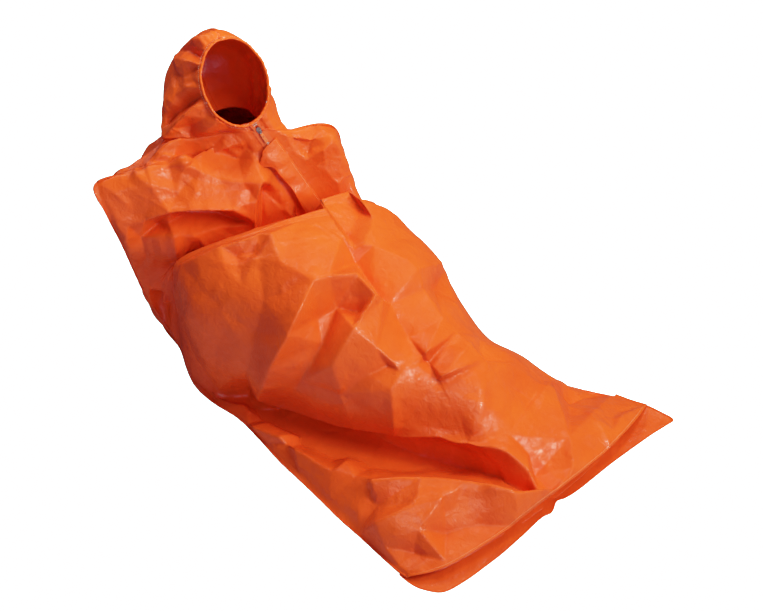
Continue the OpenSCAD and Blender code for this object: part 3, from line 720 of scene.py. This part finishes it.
def make(name, points, faces, material, solid=0.0, offset=-1.0):
    """Smooth object from the points its faces use, with an optional cloth thickness."""
    points = np.asarray(points, float).reshape(-1, 3)
    used = np.zeros(len(points), bool)
    for face in faces:
        used[list(face)] = True
    new = np.cumsum(used) - 1
    mesh = bpy.data.meshes.new(name)
    mesh.from_pydata([tuple(p) for p in points[used] / 1000.0], [],
                     [tuple(int(new[i]) for i in face) for face in faces])
    mesh.update()
    mesh.polygons.foreach_set("use_smooth", [True] * len(mesh.polygons))
    ob = bpy.data.objects.new(name, mesh)
    scene.collection.objects.link(ob)
    mesh.materials.append(material)
    if solid:
        shell = ob.modifiers.new("solid", "SOLIDIFY")
        shell.thickness = solid / 1000.0
        shell.offset = offset
        shell.use_even_offset = False
    parts[name] = ob


def frames_along(path, closed=False, up=(0, 0, 1)):
    """Tangent, side and up directions along a path."""
    if closed:
        tangent = np.roll(path, -1, 0) - np.roll(path, 1, 0)
    else:
        tangent = np.gradient(path, axis=0)
    tangent /= np.maximum(np.linalg.norm(tangent, axis=1, keepdims=True), 1e-9)
    side = np.cross(tangent, np.broadcast_to(np.asarray(up, float), path.shape))
    side /= np.maximum(np.linalg.norm(side, axis=1, keepdims=True), 1e-9)
    return tangent, side, np.cross(side, tangent)


def sweep(name, path, material, half_width, half_height, sides=10, closed=False, up=(0, 0, 1),
          vary=None):
    """A rounded section swept along a path; vary scales it point by point."""
    path = np.asarray(path, float)
    _, side, upward = frames_along(path, closed, up)
    scale = np.ones(len(path)) if vary is None else vary
    a = np.linspace(0, 2 * np.pi, sides, endpoint=False)
    across = np.sign(np.cos(a)) * abs(np.cos(a)) ** 0.75
    rise = np.sign(np.sin(a)) * abs(np.sin(a)) ** 0.75
    grid = (path[:, None] + (scale[:, None] * half_width * across)[..., None] * side[:, None]
            + (scale[:, None] * half_height * rise)[..., None] * upward[:, None])
    make(name, grid, tube_faces(len(path), sides, closed), material)


def resample(path, step, closed=False):
    path = np.asarray(path, float)
    if closed:
        path = np.vstack([path, path[:1]])
    s = np.concatenate([[0], np.cumsum(np.linalg.norm(np.diff(path, axis=0), axis=1))])
    n = max(2, int(round(s[-1] / step)))
    t = np.linspace(0, s[-1], n + 1)[: n if closed else n + 1]
    return np.stack([np.interp(t, s, path[:, k]) for k in range(3)], 1)


def take_even(path, count):
    """Rows of a path picked at even index steps."""
    return path[np.round(np.linspace(0, 1, count) * (len(path) - 1)).astype(int)]


def nearest(points, path, values):
    """For each point, the value of the closest point of a path."""
    return np.array([values[np.argmin(((path - p) ** 2).sum(1))] for p in points])


def stitches(name, path, up, material, pitch, length, radius=0.32, closed=False, lift=0.0):
    """A row of short rounded stitches along a path."""
    middles = resample(path, pitch, closed)
    ups = nearest(middles, path, np.broadcast_to(np.asarray(up, float), (len(path), 3)))
    points, faces, sides = [], [], 6
    angles = np.linspace(0, 2 * np.pi, sides, endpoint=False)
    rings = ((-0.5, 0.35), (-0.36, 1.0), (0.36, 1.0), (0.5, 0.35))   # place along, radius scale
    for middle, tangent, side, upward in zip(middles, *frames_along(middles, closed, ups)):
        first = len(points)
        for along, scale in rings:
            rise = lift + radius * 0.4 * (1 if scale == 1 else 0)
            for a in angles:
                spoke = side * math.cos(a) + upward * math.sin(a)
                points.append(middle + tangent * length * along + spoke * radius * scale
                              + upward * rise)
        faces += tube_faces(len(rings), sides, first=first)
    make(name, points, faces, material)


# ---- materials ----
class Nodes:
    """A new material with short ways to add and link its nodes."""

    def __init__(self, name):
        self.material = bpy.data.materials.new(name)
        self.material.use_nodes = True
        self.tree = self.material.node_tree
        self.link = self.tree.links.new
        self.shader = self.tree.nodes["Principled BSDF"]
        self.output = self.tree.nodes["Material Output"]

    def add(self, kind, **values):
        made = self.tree.nodes.new(kind)
        for key, value in values.items():
            if key in made.inputs:
                made.inputs[key].default_value = value
            else:
                setattr(made, key, value)
        return made

    def set_shader(self, **values):
        for key, value in values.items():
            self.shader.inputs[key.replace("_", " ")].default_value = value

    def noise(self, coords, **values):
        made = self.add("ShaderNodeTexNoise", **values)
        self.link(coords, made.inputs["Vector"])
        return made

    def ramp(self, factor, low, high):
        made = self.add("ShaderNodeValToRGB")
        for element, place, rgb in zip(made.color_ramp.elements, (0.3, 0.7), (low, high)):
            element.position = place
            element.color = (*rgb, 1)
        self.link(factor, made.inputs["Fac"])
        return made.outputs["Color"]

    def map_range(self, value, **limits):
        made = self.add("ShaderNodeMapRange",
                        **{key.replace("_", " "): v for key, v in limits.items()})
        self.link(value, made.inputs["Value"])
        return made.outputs["Result"]

    def bump(self, height, strength, distance, under=None):
        made = self.add("ShaderNodeBump", Strength=strength, Distance=distance)
        self.link(height, made.inputs["Height"])
        if under:
            self.link(under, made.inputs["Normal"])
        return made.outputs["Normal"]


def fabric(name, rgb, rough=0.38, coat=0.16, weave=1.0, crease=1.0):
    """Coated nylon: smooth sheen, plain weave, small creases, and slow changes of tone."""
    n = Nodes(name)
    coords = n.add("ShaderNodeTexCoord").outputs["Object"]
    red, green, blue = rgb
    deep = 0.95
    tone = n.noise(coords, Scale=9.0, Detail=4.0, Roughness=0.55)
    colour = n.ramp(tone.outputs["Fac"], (red * deep, green * deep * 0.94, blue * deep * 0.9),
                    (min(red * 1.05, 1), green * 1.08, blue * 1.1))
    fine = n.noise(coords, Scale=900.0, Detail=2.0, Roughness=0.6)
    mix = n.add("ShaderNodeMixRGB", blend_type="MULTIPLY", Fac=0.18)
    n.link(colour, mix.inputs["Color1"])
    n.link(fine.outputs["Color"], mix.inputs["Color2"])
    n.link(mix.outputs["Color"], n.shader.inputs["Base Color"])
    patches = n.noise(coords, Scale=26.0, Detail=5.0, Roughness=0.6)
    roughness = n.map_range(patches.outputs["Fac"], From_Min=0.3, From_Max=0.7,
                            To_Min=rough - 0.06, To_Max=rough + 0.08)
    n.link(roughness, n.shader.inputs["Roughness"])
    n.set_shader(Specular_IOR_Level=0.26, Coat_Weight=coat, Coat_Roughness=0.13)
    # soft dents, then sharp small creases on warped coordinates, then the weave
    dents = n.noise(coords, Scale=60.0, Detail=4.0, Roughness=0.55, Distortion=0.8)
    warp = n.noise(coords, Scale=14.0, Detail=3.0)
    warped = n.add("ShaderNodeVectorMath", operation="MULTIPLY_ADD")
    warped.inputs[1].default_value = (0.05, 0.05, 0.05)
    n.link(warp.outputs["Color"], warped.inputs[0])
    n.link(coords, warped.inputs[2])
    sharp = n.noise(warped.outputs["Vector"], noise_type="RIDGED_MULTIFRACTAL", Scale=24.0,
                    Detail=2.5, Roughness=0.5)
    sharp_height = n.map_range(sharp.outputs["Fac"], From_Min=0.0, From_Max=2.0)
    threads = None
    for axis in "XYZ":
        wave = n.add("ShaderNodeTexWave", wave_type="BANDS", bands_direction=axis, Scale=260.0,
                     Distortion=0.4)
        n.link(coords, wave.inputs["Vector"])
        if threads is None:
            threads = wave.outputs["Fac"]
            continue
        total = n.add("ShaderNodeMath", operation="ADD")
        n.link(threads, total.inputs[0])
        n.link(wave.outputs["Fac"], total.inputs[1])
        threads = total.outputs[0]
    dented = n.bump(dents.outputs["Fac"], strength=0.5 * crease, distance=0.004)
    creased = n.bump(sharp_height, strength=0.8 * crease, distance=0.009, under=dented)
    woven = n.bump(threads, strength=0.10 * weave, distance=0.00025, under=creased)
    n.link(woven, n.shader.inputs["Normal"])
    n.link(creased, n.shader.inputs["Coat Normal"])
    return n.material


def plain(name, rgb, rough, metal=0.0, bump=0.2, scale=400.0, coat=0.0):
    """Speckled solid colour with a fine bump."""
    n = Nodes(name)
    coords = n.add("ShaderNodeTexCoord").outputs["Object"]
    speckle = n.noise(coords, Scale=scale, Detail=4.0).outputs["Fac"]
    colour = n.ramp(speckle, [c * 0.82 for c in rgb], [min(c * 1.08, 1) for c in rgb])
    n.link(colour, n.shader.inputs["Base Color"])
    n.set_shader(Roughness=rough, Metallic=metal, Coat_Weight=coat)
    n.link(n.bump(speckle, strength=bump, distance=0.0004), n.shader.inputs["Normal"])
    return n.material


SHELL = fabric("coated_fabric", (0.82, 0.114, 0.012))
FLOOR = fabric("floor_fabric", (0.78, 0.105, 0.011), rough=0.42, coat=0.15)
TAPE = fabric("seam_tape", (0.80, 0.10, 0.008), rough=0.36, coat=0.25, crease=0.4)
HEM = fabric("hem_fabric", (0.82, 0.112, 0.008), rough=0.42, coat=0.15, crease=0.6)
ELASTIC = plain("elastic", (0.80, 0.70, 0.60), rough=0.7, bump=0.5, scale=900)
THREAD = plain("thread", (0.86, 0.45, 0.25), rough=0.55, bump=0.5, scale=1500)
ZIP_TAPE = fabric("zip_tape", (0.80, 0.14, 0.03), rough=0.6, coat=0.0, crease=0.2, weave=3.0)
TEETH = plain("zip_teeth", (0.85, 0.62, 0.50), rough=0.32, coat=0.3)
METAL = plain("zip_metal", (0.75, 0.72, 0.70), rough=0.28, metal=1.0, bump=0.1)
GRIP = plain("pull_grip", (0.86, 0.20, 0.05), rough=0.42, coat=0.2)

# ---- front and back skins ----
# the front is open along the zip
x, y, z = np.moveaxis(to_zip(front), -1, 0)
in_slit = (abs(x) < 11.5) & (y > -262) & (z > -40) & (z < 40)
slit_cells = in_slit[:-1, :-1] & in_slit[1:, 1:] & (front_rows[:-1, None] > 13.5)
make("front_skin", front, grid_faces(*front.shape[:2], keep=~slit_cells), SHELL, solid=CLOTH)
make("back_skin", back, grid_faces(*back.shape[:2]), SHELL, solid=CLOTH)


def row_index(row):
    """Grid row of the front panel closest to a row of its net."""
    return int(np.argmin(abs(front_rows - row)))


# ---- floor: strips between the ground edges of both sides, meeting behind the back ----
FLOOR_ROWS, FLOOR_COLUMNS = 110, 60
ground_rows = row_index(SIDE_ROW) + 1
back_hem = base_back[0]
half = len(back_hem) // 2
right_side = np.vstack([base_front[:ground_rows, 0], back_hem[::-1][1: len(back_hem) - half]])
left_side = np.vstack([base_front[:ground_rows, -1], back_hem[1: half + 1]])
sides = [take_even(resample(side, 12), FLOOR_ROWS) for side in (right_side, left_side)]
for side in sides:       # a narrow lip past the back panel's lower edge closes the gap there
    away = side[:, :2] - np.array([side[-1, 0], 380.0])
    reach = np.maximum(np.linalg.norm(away, axis=1, keepdims=True), 1)
    side[:, :2] += 4.5 * ease((side[:, 1:2] - 330) / 90) * away / reach
w = np.linspace(0, 1, FLOOR_COLUMNS)[None, :, None]
floor = sides[0][:, None] * (1 - w) + sides[1][:, None] * w
floor[..., 2] = 1.6 + 0.9 * np.abs(wrinkle(floor, 11, [(80, 1.0, 1.5), (30, 0.5, 1.2)]))
make("floor_skin", floor, grid_faces(FLOOR_ROWS, FLOOR_COLUMNS), FLOOR, solid=CLOTH)

# ---- apron: the floor's own edge standing out past the foot hem; x y z along it ----
APRON_EDGE = read_lines("""
-408 -470 5, -409 -505 6, -401 -537 6, -374 -574 4, -321 -588 3, -255 -595 3, -194 -599 4,
-126 -599 4, -56 -597 4, -28 -605 6, 4 -593 9, 30 -600 5, 78 -606 3, 192 -612 4, 318 -623 3,
380 -632 3, 408 -634 3, 404 -600 6, 396 -556 6, 380 -505 5""")[0]
APRON_ROWS = 22
outer = resample(catmull_rom(APRON_EDGE, np.linspace(0, len(APRON_EDGE) - 1, 200)), 7)
inner = take_even(resample(base_front[0], 3), len(outer)) * vec(0.93, 1, 0) + vec(0, 62, 2.4)
inner[:, 1] = np.maximum(inner[:, 1], outer[:, 1] + 10)
w = np.linspace(0, 1, APRON_ROWS)[:, None, None]
apron = inner[None] * (1 - w) + outer[None] * w
puffs = wrinkle(apron, 13, [(95, 3.4, 1.4), (42, 1.6, 1.3), (18, 0.5, 1.2)])
puffs = (puffs + 1.2) * ease(1.15 - abs(w[..., 0] - 0.62) * 2.2)
apron[..., 2] = np.maximum(apron[..., 2] + puffs, 2.2)
make("floor_apron", apron, grid_faces(APRON_ROWS, len(outer), flip=True), FLOOR, solid=CLOTH)
sweep("floor_apron_tape", apron[-1] + vec(0, 0, 0.2), TAPE, half_width=2.2, half_height=0.9)

# ---- foot gusset: from the front hem, inwards under it ----
# distance towards +y, height scale, lift
GUSSET_ROWS = ((0, 1.0, 0), (22, 0.80, 1), (48, 0.55, 1.5), (72, 0.36, 2), (78, 0.26, 2.4),
               (60, 0.16, 2.8), (34, 0.06, 3.2), (12, 0.0, 4.0))
gusset_edge = front[0] * vec(0.992, 1, 1) + vec(0, 2.5, -1.4)
gusset_edge[:, 2] = np.maximum(gusset_edge[:, 2], 3.4)
gusset_net = []
for inward, height_scale, lift in GUSSET_ROWS:
    row = gusset_edge * vec(1 - inward * 0.0006, 1, height_scale) + vec(0, inward, lift)
    row[:, 2] = np.minimum(row[:, 2], gusset_edge[:, 2])
    gusset_net.append(row)
gusset_params = np.linspace(0, len(GUSSET_ROWS) - 1, 30)
gusset = catmull_rom(gusset_net, gusset_params)
bulge = np.sin(np.pi * gusset_params / gusset_params.max())[:, None] ** 0.5
puffs = wrinkle(gusset, 17, [(60, 1.5, 1.5), (25, 0.7, 1.2)]) * bulge
gusset[..., 2] = np.maximum(gusset[..., 2] + puffs, 2.6)
make("gusset_skin", gusset, grid_faces(*gusset.shape[:2]), FLOOR, solid=0.7, offset=0.0)

# ---- hem band and stitches along the foot end of the front panel ----
sweep("foot_hem_band", resample(front[0] + vec(0, 3.0, 0), 6), HEM, half_width=3.6,
      half_height=1.1, sides=12, up=(0, -0.35, 1))
stitches("foot_hem_stitches", front[2] + front_normals[2] * 0.4, (0, -0.2, 1), THREAD,
         pitch=4.6, length=3.0, lift=0.2)

# ---- taped seams: on the ground beside the legs, then up between front and back ----
SEAM_RADIUS = 2.1
SEAM_TOP, SHOULDER_START = 18.9, 17.1         # rows of the front net
for name, column, up in (("side_seam_tape_right", 0, (-0.6, 0.2, 0.77)),
                         ("side_seam_tape_left", -1, (0.6, -0.2, 0.77))):
    path = resample(front[:row_index(SEAM_TOP), column], 5)
    k = np.arange(len(path))
    sweep(name, path, TAPE, half_width=SEAM_RADIUS, half_height=SEAM_RADIUS * 0.8, up=up,
          vary=1 + 0.10 * np.sin(k * 0.9) + 0.06 * np.sin(k * 2.3))
for name, column, up in (("shoulder_tape_right", 0, (-0.2, 0.3, 0.93)),
                         ("shoulder_tape_left", -1, (0.3, -0.1, 0.95))):
    path = resample(front[row_index(SHOULDER_START):, column] + vec(0, 0, 1.2), 5)
    sweep(name, path, TAPE, half_width=4.0, half_height=1.0, sides=12, up=up)
sweep("neck_seam_tape", resample(base_hood[0], 5, closed=True), TAPE, half_width=1.8,
      half_height=2.4, closed=True)

# ---- hood skins, split along the crown line, and the tape over it ----
hood_columns = hood.shape[1]
crown_column = hood_columns // 2
hood_faces = grid_faces(*hood.shape[:2], closed=True, flip=True)
for name, is_right in (("hood_skin_right", True), ("hood_skin_left", False)):
    faces = [face for k, face in enumerate(hood_faces)
             if (k % hood_columns < crown_column) == is_right]
    make(name, hood, faces, SHELL, solid=CLOTH)
crown_normals = hood_normals[3:-1, crown_column]
crown = hood[3:-1, crown_column] + crown_normals * 0.7
path = resample(crown, 5)
sweep("crown_seam_tape", path, TAPE, half_width=5.0, half_height=0.8, sides=12,
      up=nearest(path, crown, crown_normals))

# ---- puckered hem casing round the face opening, and its stitches ----
HEM_RINGS, HEM_SIDES = 440, 18
around = np.radians(np.linspace(0, 360, HEM_RINGS, endpoint=False))
phases = np.random.default_rng(23).uniform(0, 2 * np.pi, 6)
pucker = (0.55 * np.sin(around * 46 + 1.3 * np.sin(around * 5 + phases[0]))
          + 0.35 * np.sin(around * 29 + phases[1]))
sway = 0.5 * (1.6 * np.sin(around * 7 + phases[2]) + 1.0 * np.sin(around * 13 + phases[3]))
hem = np.zeros((HEM_RINGS, HEM_SIDES, 3))
for k, a in enumerate(np.linspace(0, 2 * np.pi, HEM_SIDES, endpoint=False)):
    c, s = math.cos(a), math.sin(a)
    forward = 4.6 + (5.0 + 0.7 * pucker) * s
    grow = (3.5 + 1.0 * pucker * (1 if c > 0 else 0.6)) * np.sign(c) * abs(c) ** 0.8 + sway
    hem[:, k] = (HOOD_MID - ((RIM_WIDE + grow) * np.sin(around))[:, None] * HOOD_LEFT
                 - ((RIM_HIGH + grow) * np.cos(around))[:, None] * HOOD_UP
                 + forward[:, None] * HOOD_OUT)
make("hood_hem", hem, tube_faces(HEM_RINGS, HEM_SIDES, closed=True), HEM)
thread_line = rim_point(np.linspace(0, 360, 220, endpoint=False), grow=3.6, forward=0.4)
outward = thread_line - HOOD_MID
outward /= np.linalg.norm(outward, axis=1)[:, None]
stitches("hood_hem_thread", thread_line + outward * 0.9, outward, THREAD, pitch=5.0, length=3.2,
         radius=0.42, closed=True)

# ---- storm flap: hangs over the zip from its fixed edge, with a lobe at the top ----
FLAP_FIXED_X, FLAP_TOP_Y, FLAP_LENGTH = 24.4, -42.5, 215
flap = np.zeros((90, 30, 3))
for i, down in enumerate(np.linspace(0, 1, flap.shape[0])):
    y = FLAP_TOP_Y - FLAP_LENGTH * down
    lobe = 27 * math.exp(-((y + 66) / 21) ** 2)
    edge_x = -19.5 - lobe - 2.5 * math.sin(y * 0.045) * ease((-y - 90) / 40)
    for j, across in enumerate(np.linspace(0, 1, flap.shape[1])):
        x = FLAP_FIXED_X + (edge_x - FLAP_FIXED_X) * across
        corner = 13 * (1 - math.sqrt(max(1 - max((across - 0.45) / 0.55, 0) ** 2, 0)))
        out = FLAP_FIXED_X - x
        # rises off the zip, then curls down past 42 mm
        z = (1.9 + 0.29 * min(out, 42) + 1.8 * math.sin(math.pi * min(out / 44, 1))
             - 0.10 * max(out - 42, 0) - 0.004 * max(out - 42, 0) ** 2)
        z += min(out / 30, 1) * (1.0 * math.sin(y * 0.05 + 0.5)
                                 + 0.7 * math.sin(y * 0.12 + x * 0.06))
        flap[i, j] = on_zip(x, y - corner * math.exp(-(y - FLAP_TOP_Y) ** 2 / 1200), z)
make("storm_flap_skin", flap, grid_faces(*flap.shape[:2]), SHELL, solid=CLOTH, offset=0.0)
sweep("storm_flap_binding", resample(np.vstack([flap[::-1, -1], flap[0, ::-1]]), 4), HEM,
      half_width=1.5, half_height=1.0, up=CHEST_OUT)
stitches("storm_flap_thread", np.array([on_zip(20.0, y, 3.9) for y in np.linspace(-46, -255, 60)]),
         CHEST_OUT, THREAD, pitch=4.2, length=2.8, radius=0.34)

# ---- what each piece rides on, stands for and is made of ----
RIDES = {
    "sack": ("front_skin", "back_skin", "floor_skin", "floor_apron", "floor_apron_tape",
             "gusset_skin", "foot_hem_band", "foot_hem_stitches", "side_seam_tape_right",
             "side_seam_tape_left", "shoulder_tape_right", "shoulder_tape_left",
             "neck_seam_tape"),
    "flap": ("storm_flap_skin", "storm_flap_binding", "storm_flap_thread"),
    "hood": ("hood_hem", "hood_hem_thread")}
for body, names in RIDES.items():
    for name in names:
        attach(parts[name], body)
# the hood cloth runs from the sack to the hood, so these pieces stay unattached, with their
# placement baked into the meshes
for name in ("hood_skin_right", "hood_skin_left", "crown_seam_tape"):
    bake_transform(parts[name])
for name, packed in (
        ("front_skin", "front_panel"), ("back_skin", "back_panel"), ("floor_skin", "floor_panel"),
        ("gusset_skin", "foot_gusset"), ("side_seam_tape_right", "side_seam_right"),
        ("side_seam_tape_left", "side_seam_left"), ("floor_apron_tape", "foot_seam"),
        ("shoulder_tape_right", "shoulder_seams"), ("hood_skin_right", "hood_right_panel"),
        ("hood_skin_left", "hood_left_panel"), ("crown_seam_tape", "hood_crown_tape"),
        ("hood_hem", "hood_hem_casing"), ("hood_hem_thread", "hood_hem_stitches"),
        ("storm_flap_skin", "storm_flap"), ("storm_flap_thread", "storm_flap_stitches")):
    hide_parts(packed)
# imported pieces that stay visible
for name, material in (
        ("hood_elastic", ELASTIC), ("zip_tape_right", ZIP_TAPE), ("zip_tape_left", ZIP_TAPE),
        ("zip_teeth_right", TEETH), ("zip_teeth_left", TEETH), ("zip_top_stops", METAL),
        ("zip_bottom_stop", METAL), ("zip_end_patch", HEM), ("zip_slider", METAL),
        ("zip_slider_pin", METAL), ("zip_pull_link", METAL), ("zip_pull_grip", GRIP)):
    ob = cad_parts[name]
    if not ob.material_slots:
        ob.data.materials.append(material)
    for material_slot in ob.material_slots:
        material_slot.material = material


# ---- studio floor: glows white to the camera, dark in reflections ----
def studio_floor_material():
    n = Nodes("studio_floor")
    n.set_shader(Base_Color=(0.93, 0.93, 0.93, 1), Roughness=0.9, Specular_IOR_Level=0.1)
    emission = n.add("ShaderNodeEmission", Color=(1, 1, 1, 1), Strength=0.9)
    lit = n.add("ShaderNodeMixShader")
    lit.inputs[0].default_value = 0.4
    n.link(n.shader.outputs[0], lit.inputs[1])
    n.link(emission.outputs[0], lit.inputs[2])
    rays = n.add("ShaderNodeLightPath")
    glow = n.add("ShaderNodeMath", operation="MULTIPLY_ADD")
    glow.inputs[1].default_value = 4.4        # added for camera rays
    glow.inputs[2].default_value = 0.9        # for all rays
    n.link(rays.outputs["Is Camera Ray"], glow.inputs[0])
    n.link(glow.outputs[0], emission.inputs[1])
    dim = n.add("ShaderNodeBsdfDiffuse", Color=(0.07, 0.07, 0.07, 1))
    final = n.add("ShaderNodeMixShader")
    n.link(rays.outputs["Is Glossy Ray"], final.inputs[0])
    n.link(lit.outputs[0], final.inputs[1])
    n.link(dim.outputs[0], final.inputs[2])
    n.link(final.outputs[0], n.output.inputs["Surface"])
    return n.material


bpy.ops.mesh.primitive_plane_add(size=14, location=(0, 0, 0))
ground = bpy.context.object
ground.name = "studio_floor"
ground.data.materials.append(studio_floor_material())


# ---- world: faint light, bright to the camera ----
def build_world():
    world = bpy.data.worlds.new("studio")
    scene.world = world
    world.use_nodes = True
    nodes, link = world.node_tree.nodes, world.node_tree.links.new
    ambient, backdrop = nodes["Background"], nodes.new("ShaderNodeBackground")
    for background, strength in ((ambient, 0.03), (backdrop, 1.8)):
        background.inputs[0].default_value = (1, 1, 1, 1)
        background.inputs[1].default_value = strength
    rays, mix = nodes.new("ShaderNodeLightPath"), nodes.new("ShaderNodeMixShader")
    link(rays.outputs["Is Camera Ray"], mix.inputs[0])
    link(ambient.outputs[0], mix.inputs[1])
    link(backdrop.outputs[0], mix.inputs[2])
    link(mix.outputs[0], nodes["World Output"].inputs["Surface"])


build_world()

# ---- lights, in metres and watts ----
LIGHT_TARGET = vec(0, 0, 0.3)
LIGHT_DIST = 2.6


def area_light(name, location, target, size, power, diffuse=True, glossy=True):
    light = bpy.data.lights.new(name, "AREA")
    light.shape = "RECTANGLE"
    light.size = light.size_y = size
    light.energy = power
    ob = bpy.data.objects.new(name, light)
    ob.location = location
    aim = Vector(target) - Vector(location)
    ob.rotation_euler = aim.to_track_quat("-Z", "Y").to_euler()
    scene.collection.objects.link(ob)
    ob.visible_diffuse, ob.visible_glossy = diffuse, glossy


def softbox(name, azimuth, elevation, power, size=0.8, **visible):
    """Square light round the target; azimuth in degrees from +x."""
    a, e = rad(azimuth), rad(elevation)
    toward = vec(math.cos(a) * math.cos(e), math.sin(a) * math.cos(e), math.sin(e))
    area_light(name, tuple(LIGHT_TARGET + LIGHT_DIST * toward), tuple(LIGHT_TARGET), size, power,
               **visible)


softbox("soft_front", azimuth=225, elevation=30, power=10)
softbox("soft_right", azimuth=0, elevation=30, power=11, glossy=False)
softbox("soft_left", azimuth=180, elevation=30, power=3, glossy=False)
softbox("soft_front_high", azimuth=288, elevation=38, power=40, glossy=False)
softbox("soft_right_high", azimuth=315, elevation=52, power=5, glossy=False)
area_light("soft_head", (0.2, 0.7, 1.75), tuple(LIGHT_TARGET), size=0.5, power=12, glossy=False)
area_light("soft_near", (0.2, -0.5, 1.75), (-0.1, 0.45, 0.5), size=0.5, power=9, glossy=False)
softbox("sheen_back", azimuth=90, elevation=58, power=8, diffuse=False)
softbox("sheen_back_low", azimuth=90, elevation=30, power=4, diffuse=False)
softbox("sheen_front", azimuth=270, elevation=30, power=26, size=0.4, diffuse=False)
softbox("sheen_right", azimuth=0, elevation=58, power=6, size=0.4, diffuse=False)

# ---- camera ----
camera_data = bpy.data.cameras.new("camera")
camera_data.lens = LENS
camera_data.sensor_width = 36
camera_data.clip_end = 50
camera = bpy.data.objects.new("camera", camera_data)
scene.collection.objects.link(camera)
view_axes = Matrix(np.stack([RIGHT, VIEW_UP, -LOOK], 1).tolist())
camera.matrix_world = Matrix.Translation(Vector(EYE / 1000)) @ view_axes.to_4x4()
scene.camera = camera

# ---- tone: red rolls off towards white, and the shade of orange deepens ----
TONE_CURVES = (                               # red, green, blue: handle kind, points
    ("AUTO", [(0, 0), (0.25, 0.48), (0.5, 0.78), (0.8, 0.93), (1, 1)]),
    ("VECTOR", [(0, 0), (0.02, 0.024), (0.05, 0.082), (0.1, 0.20), (0.5, 1), (1, 1)]),
    ("VECTOR", [(0, 0), (0.5, 1), (1, 1)]))
view = scene.view_settings
view.view_transform = "Standard"
view.look = "None"
view.use_curve_mapping = True
tones = view.curve_mapping
tones.use_clip = True
tones.white_level = (1.62, 1.62, 1.62)
for channel, (kind, places) in enumerate(TONE_CURVES):
    curve = tones.curves[channel]
    for k, place in enumerate(places):
        if 0 < k < len(places) - 1:
            point = curve.points.new(*place)
        else:
            point = curve.points[len(curve.points) - 1 if k else 0]
        point.location = place
        point.handle_type = kind
tones.update()
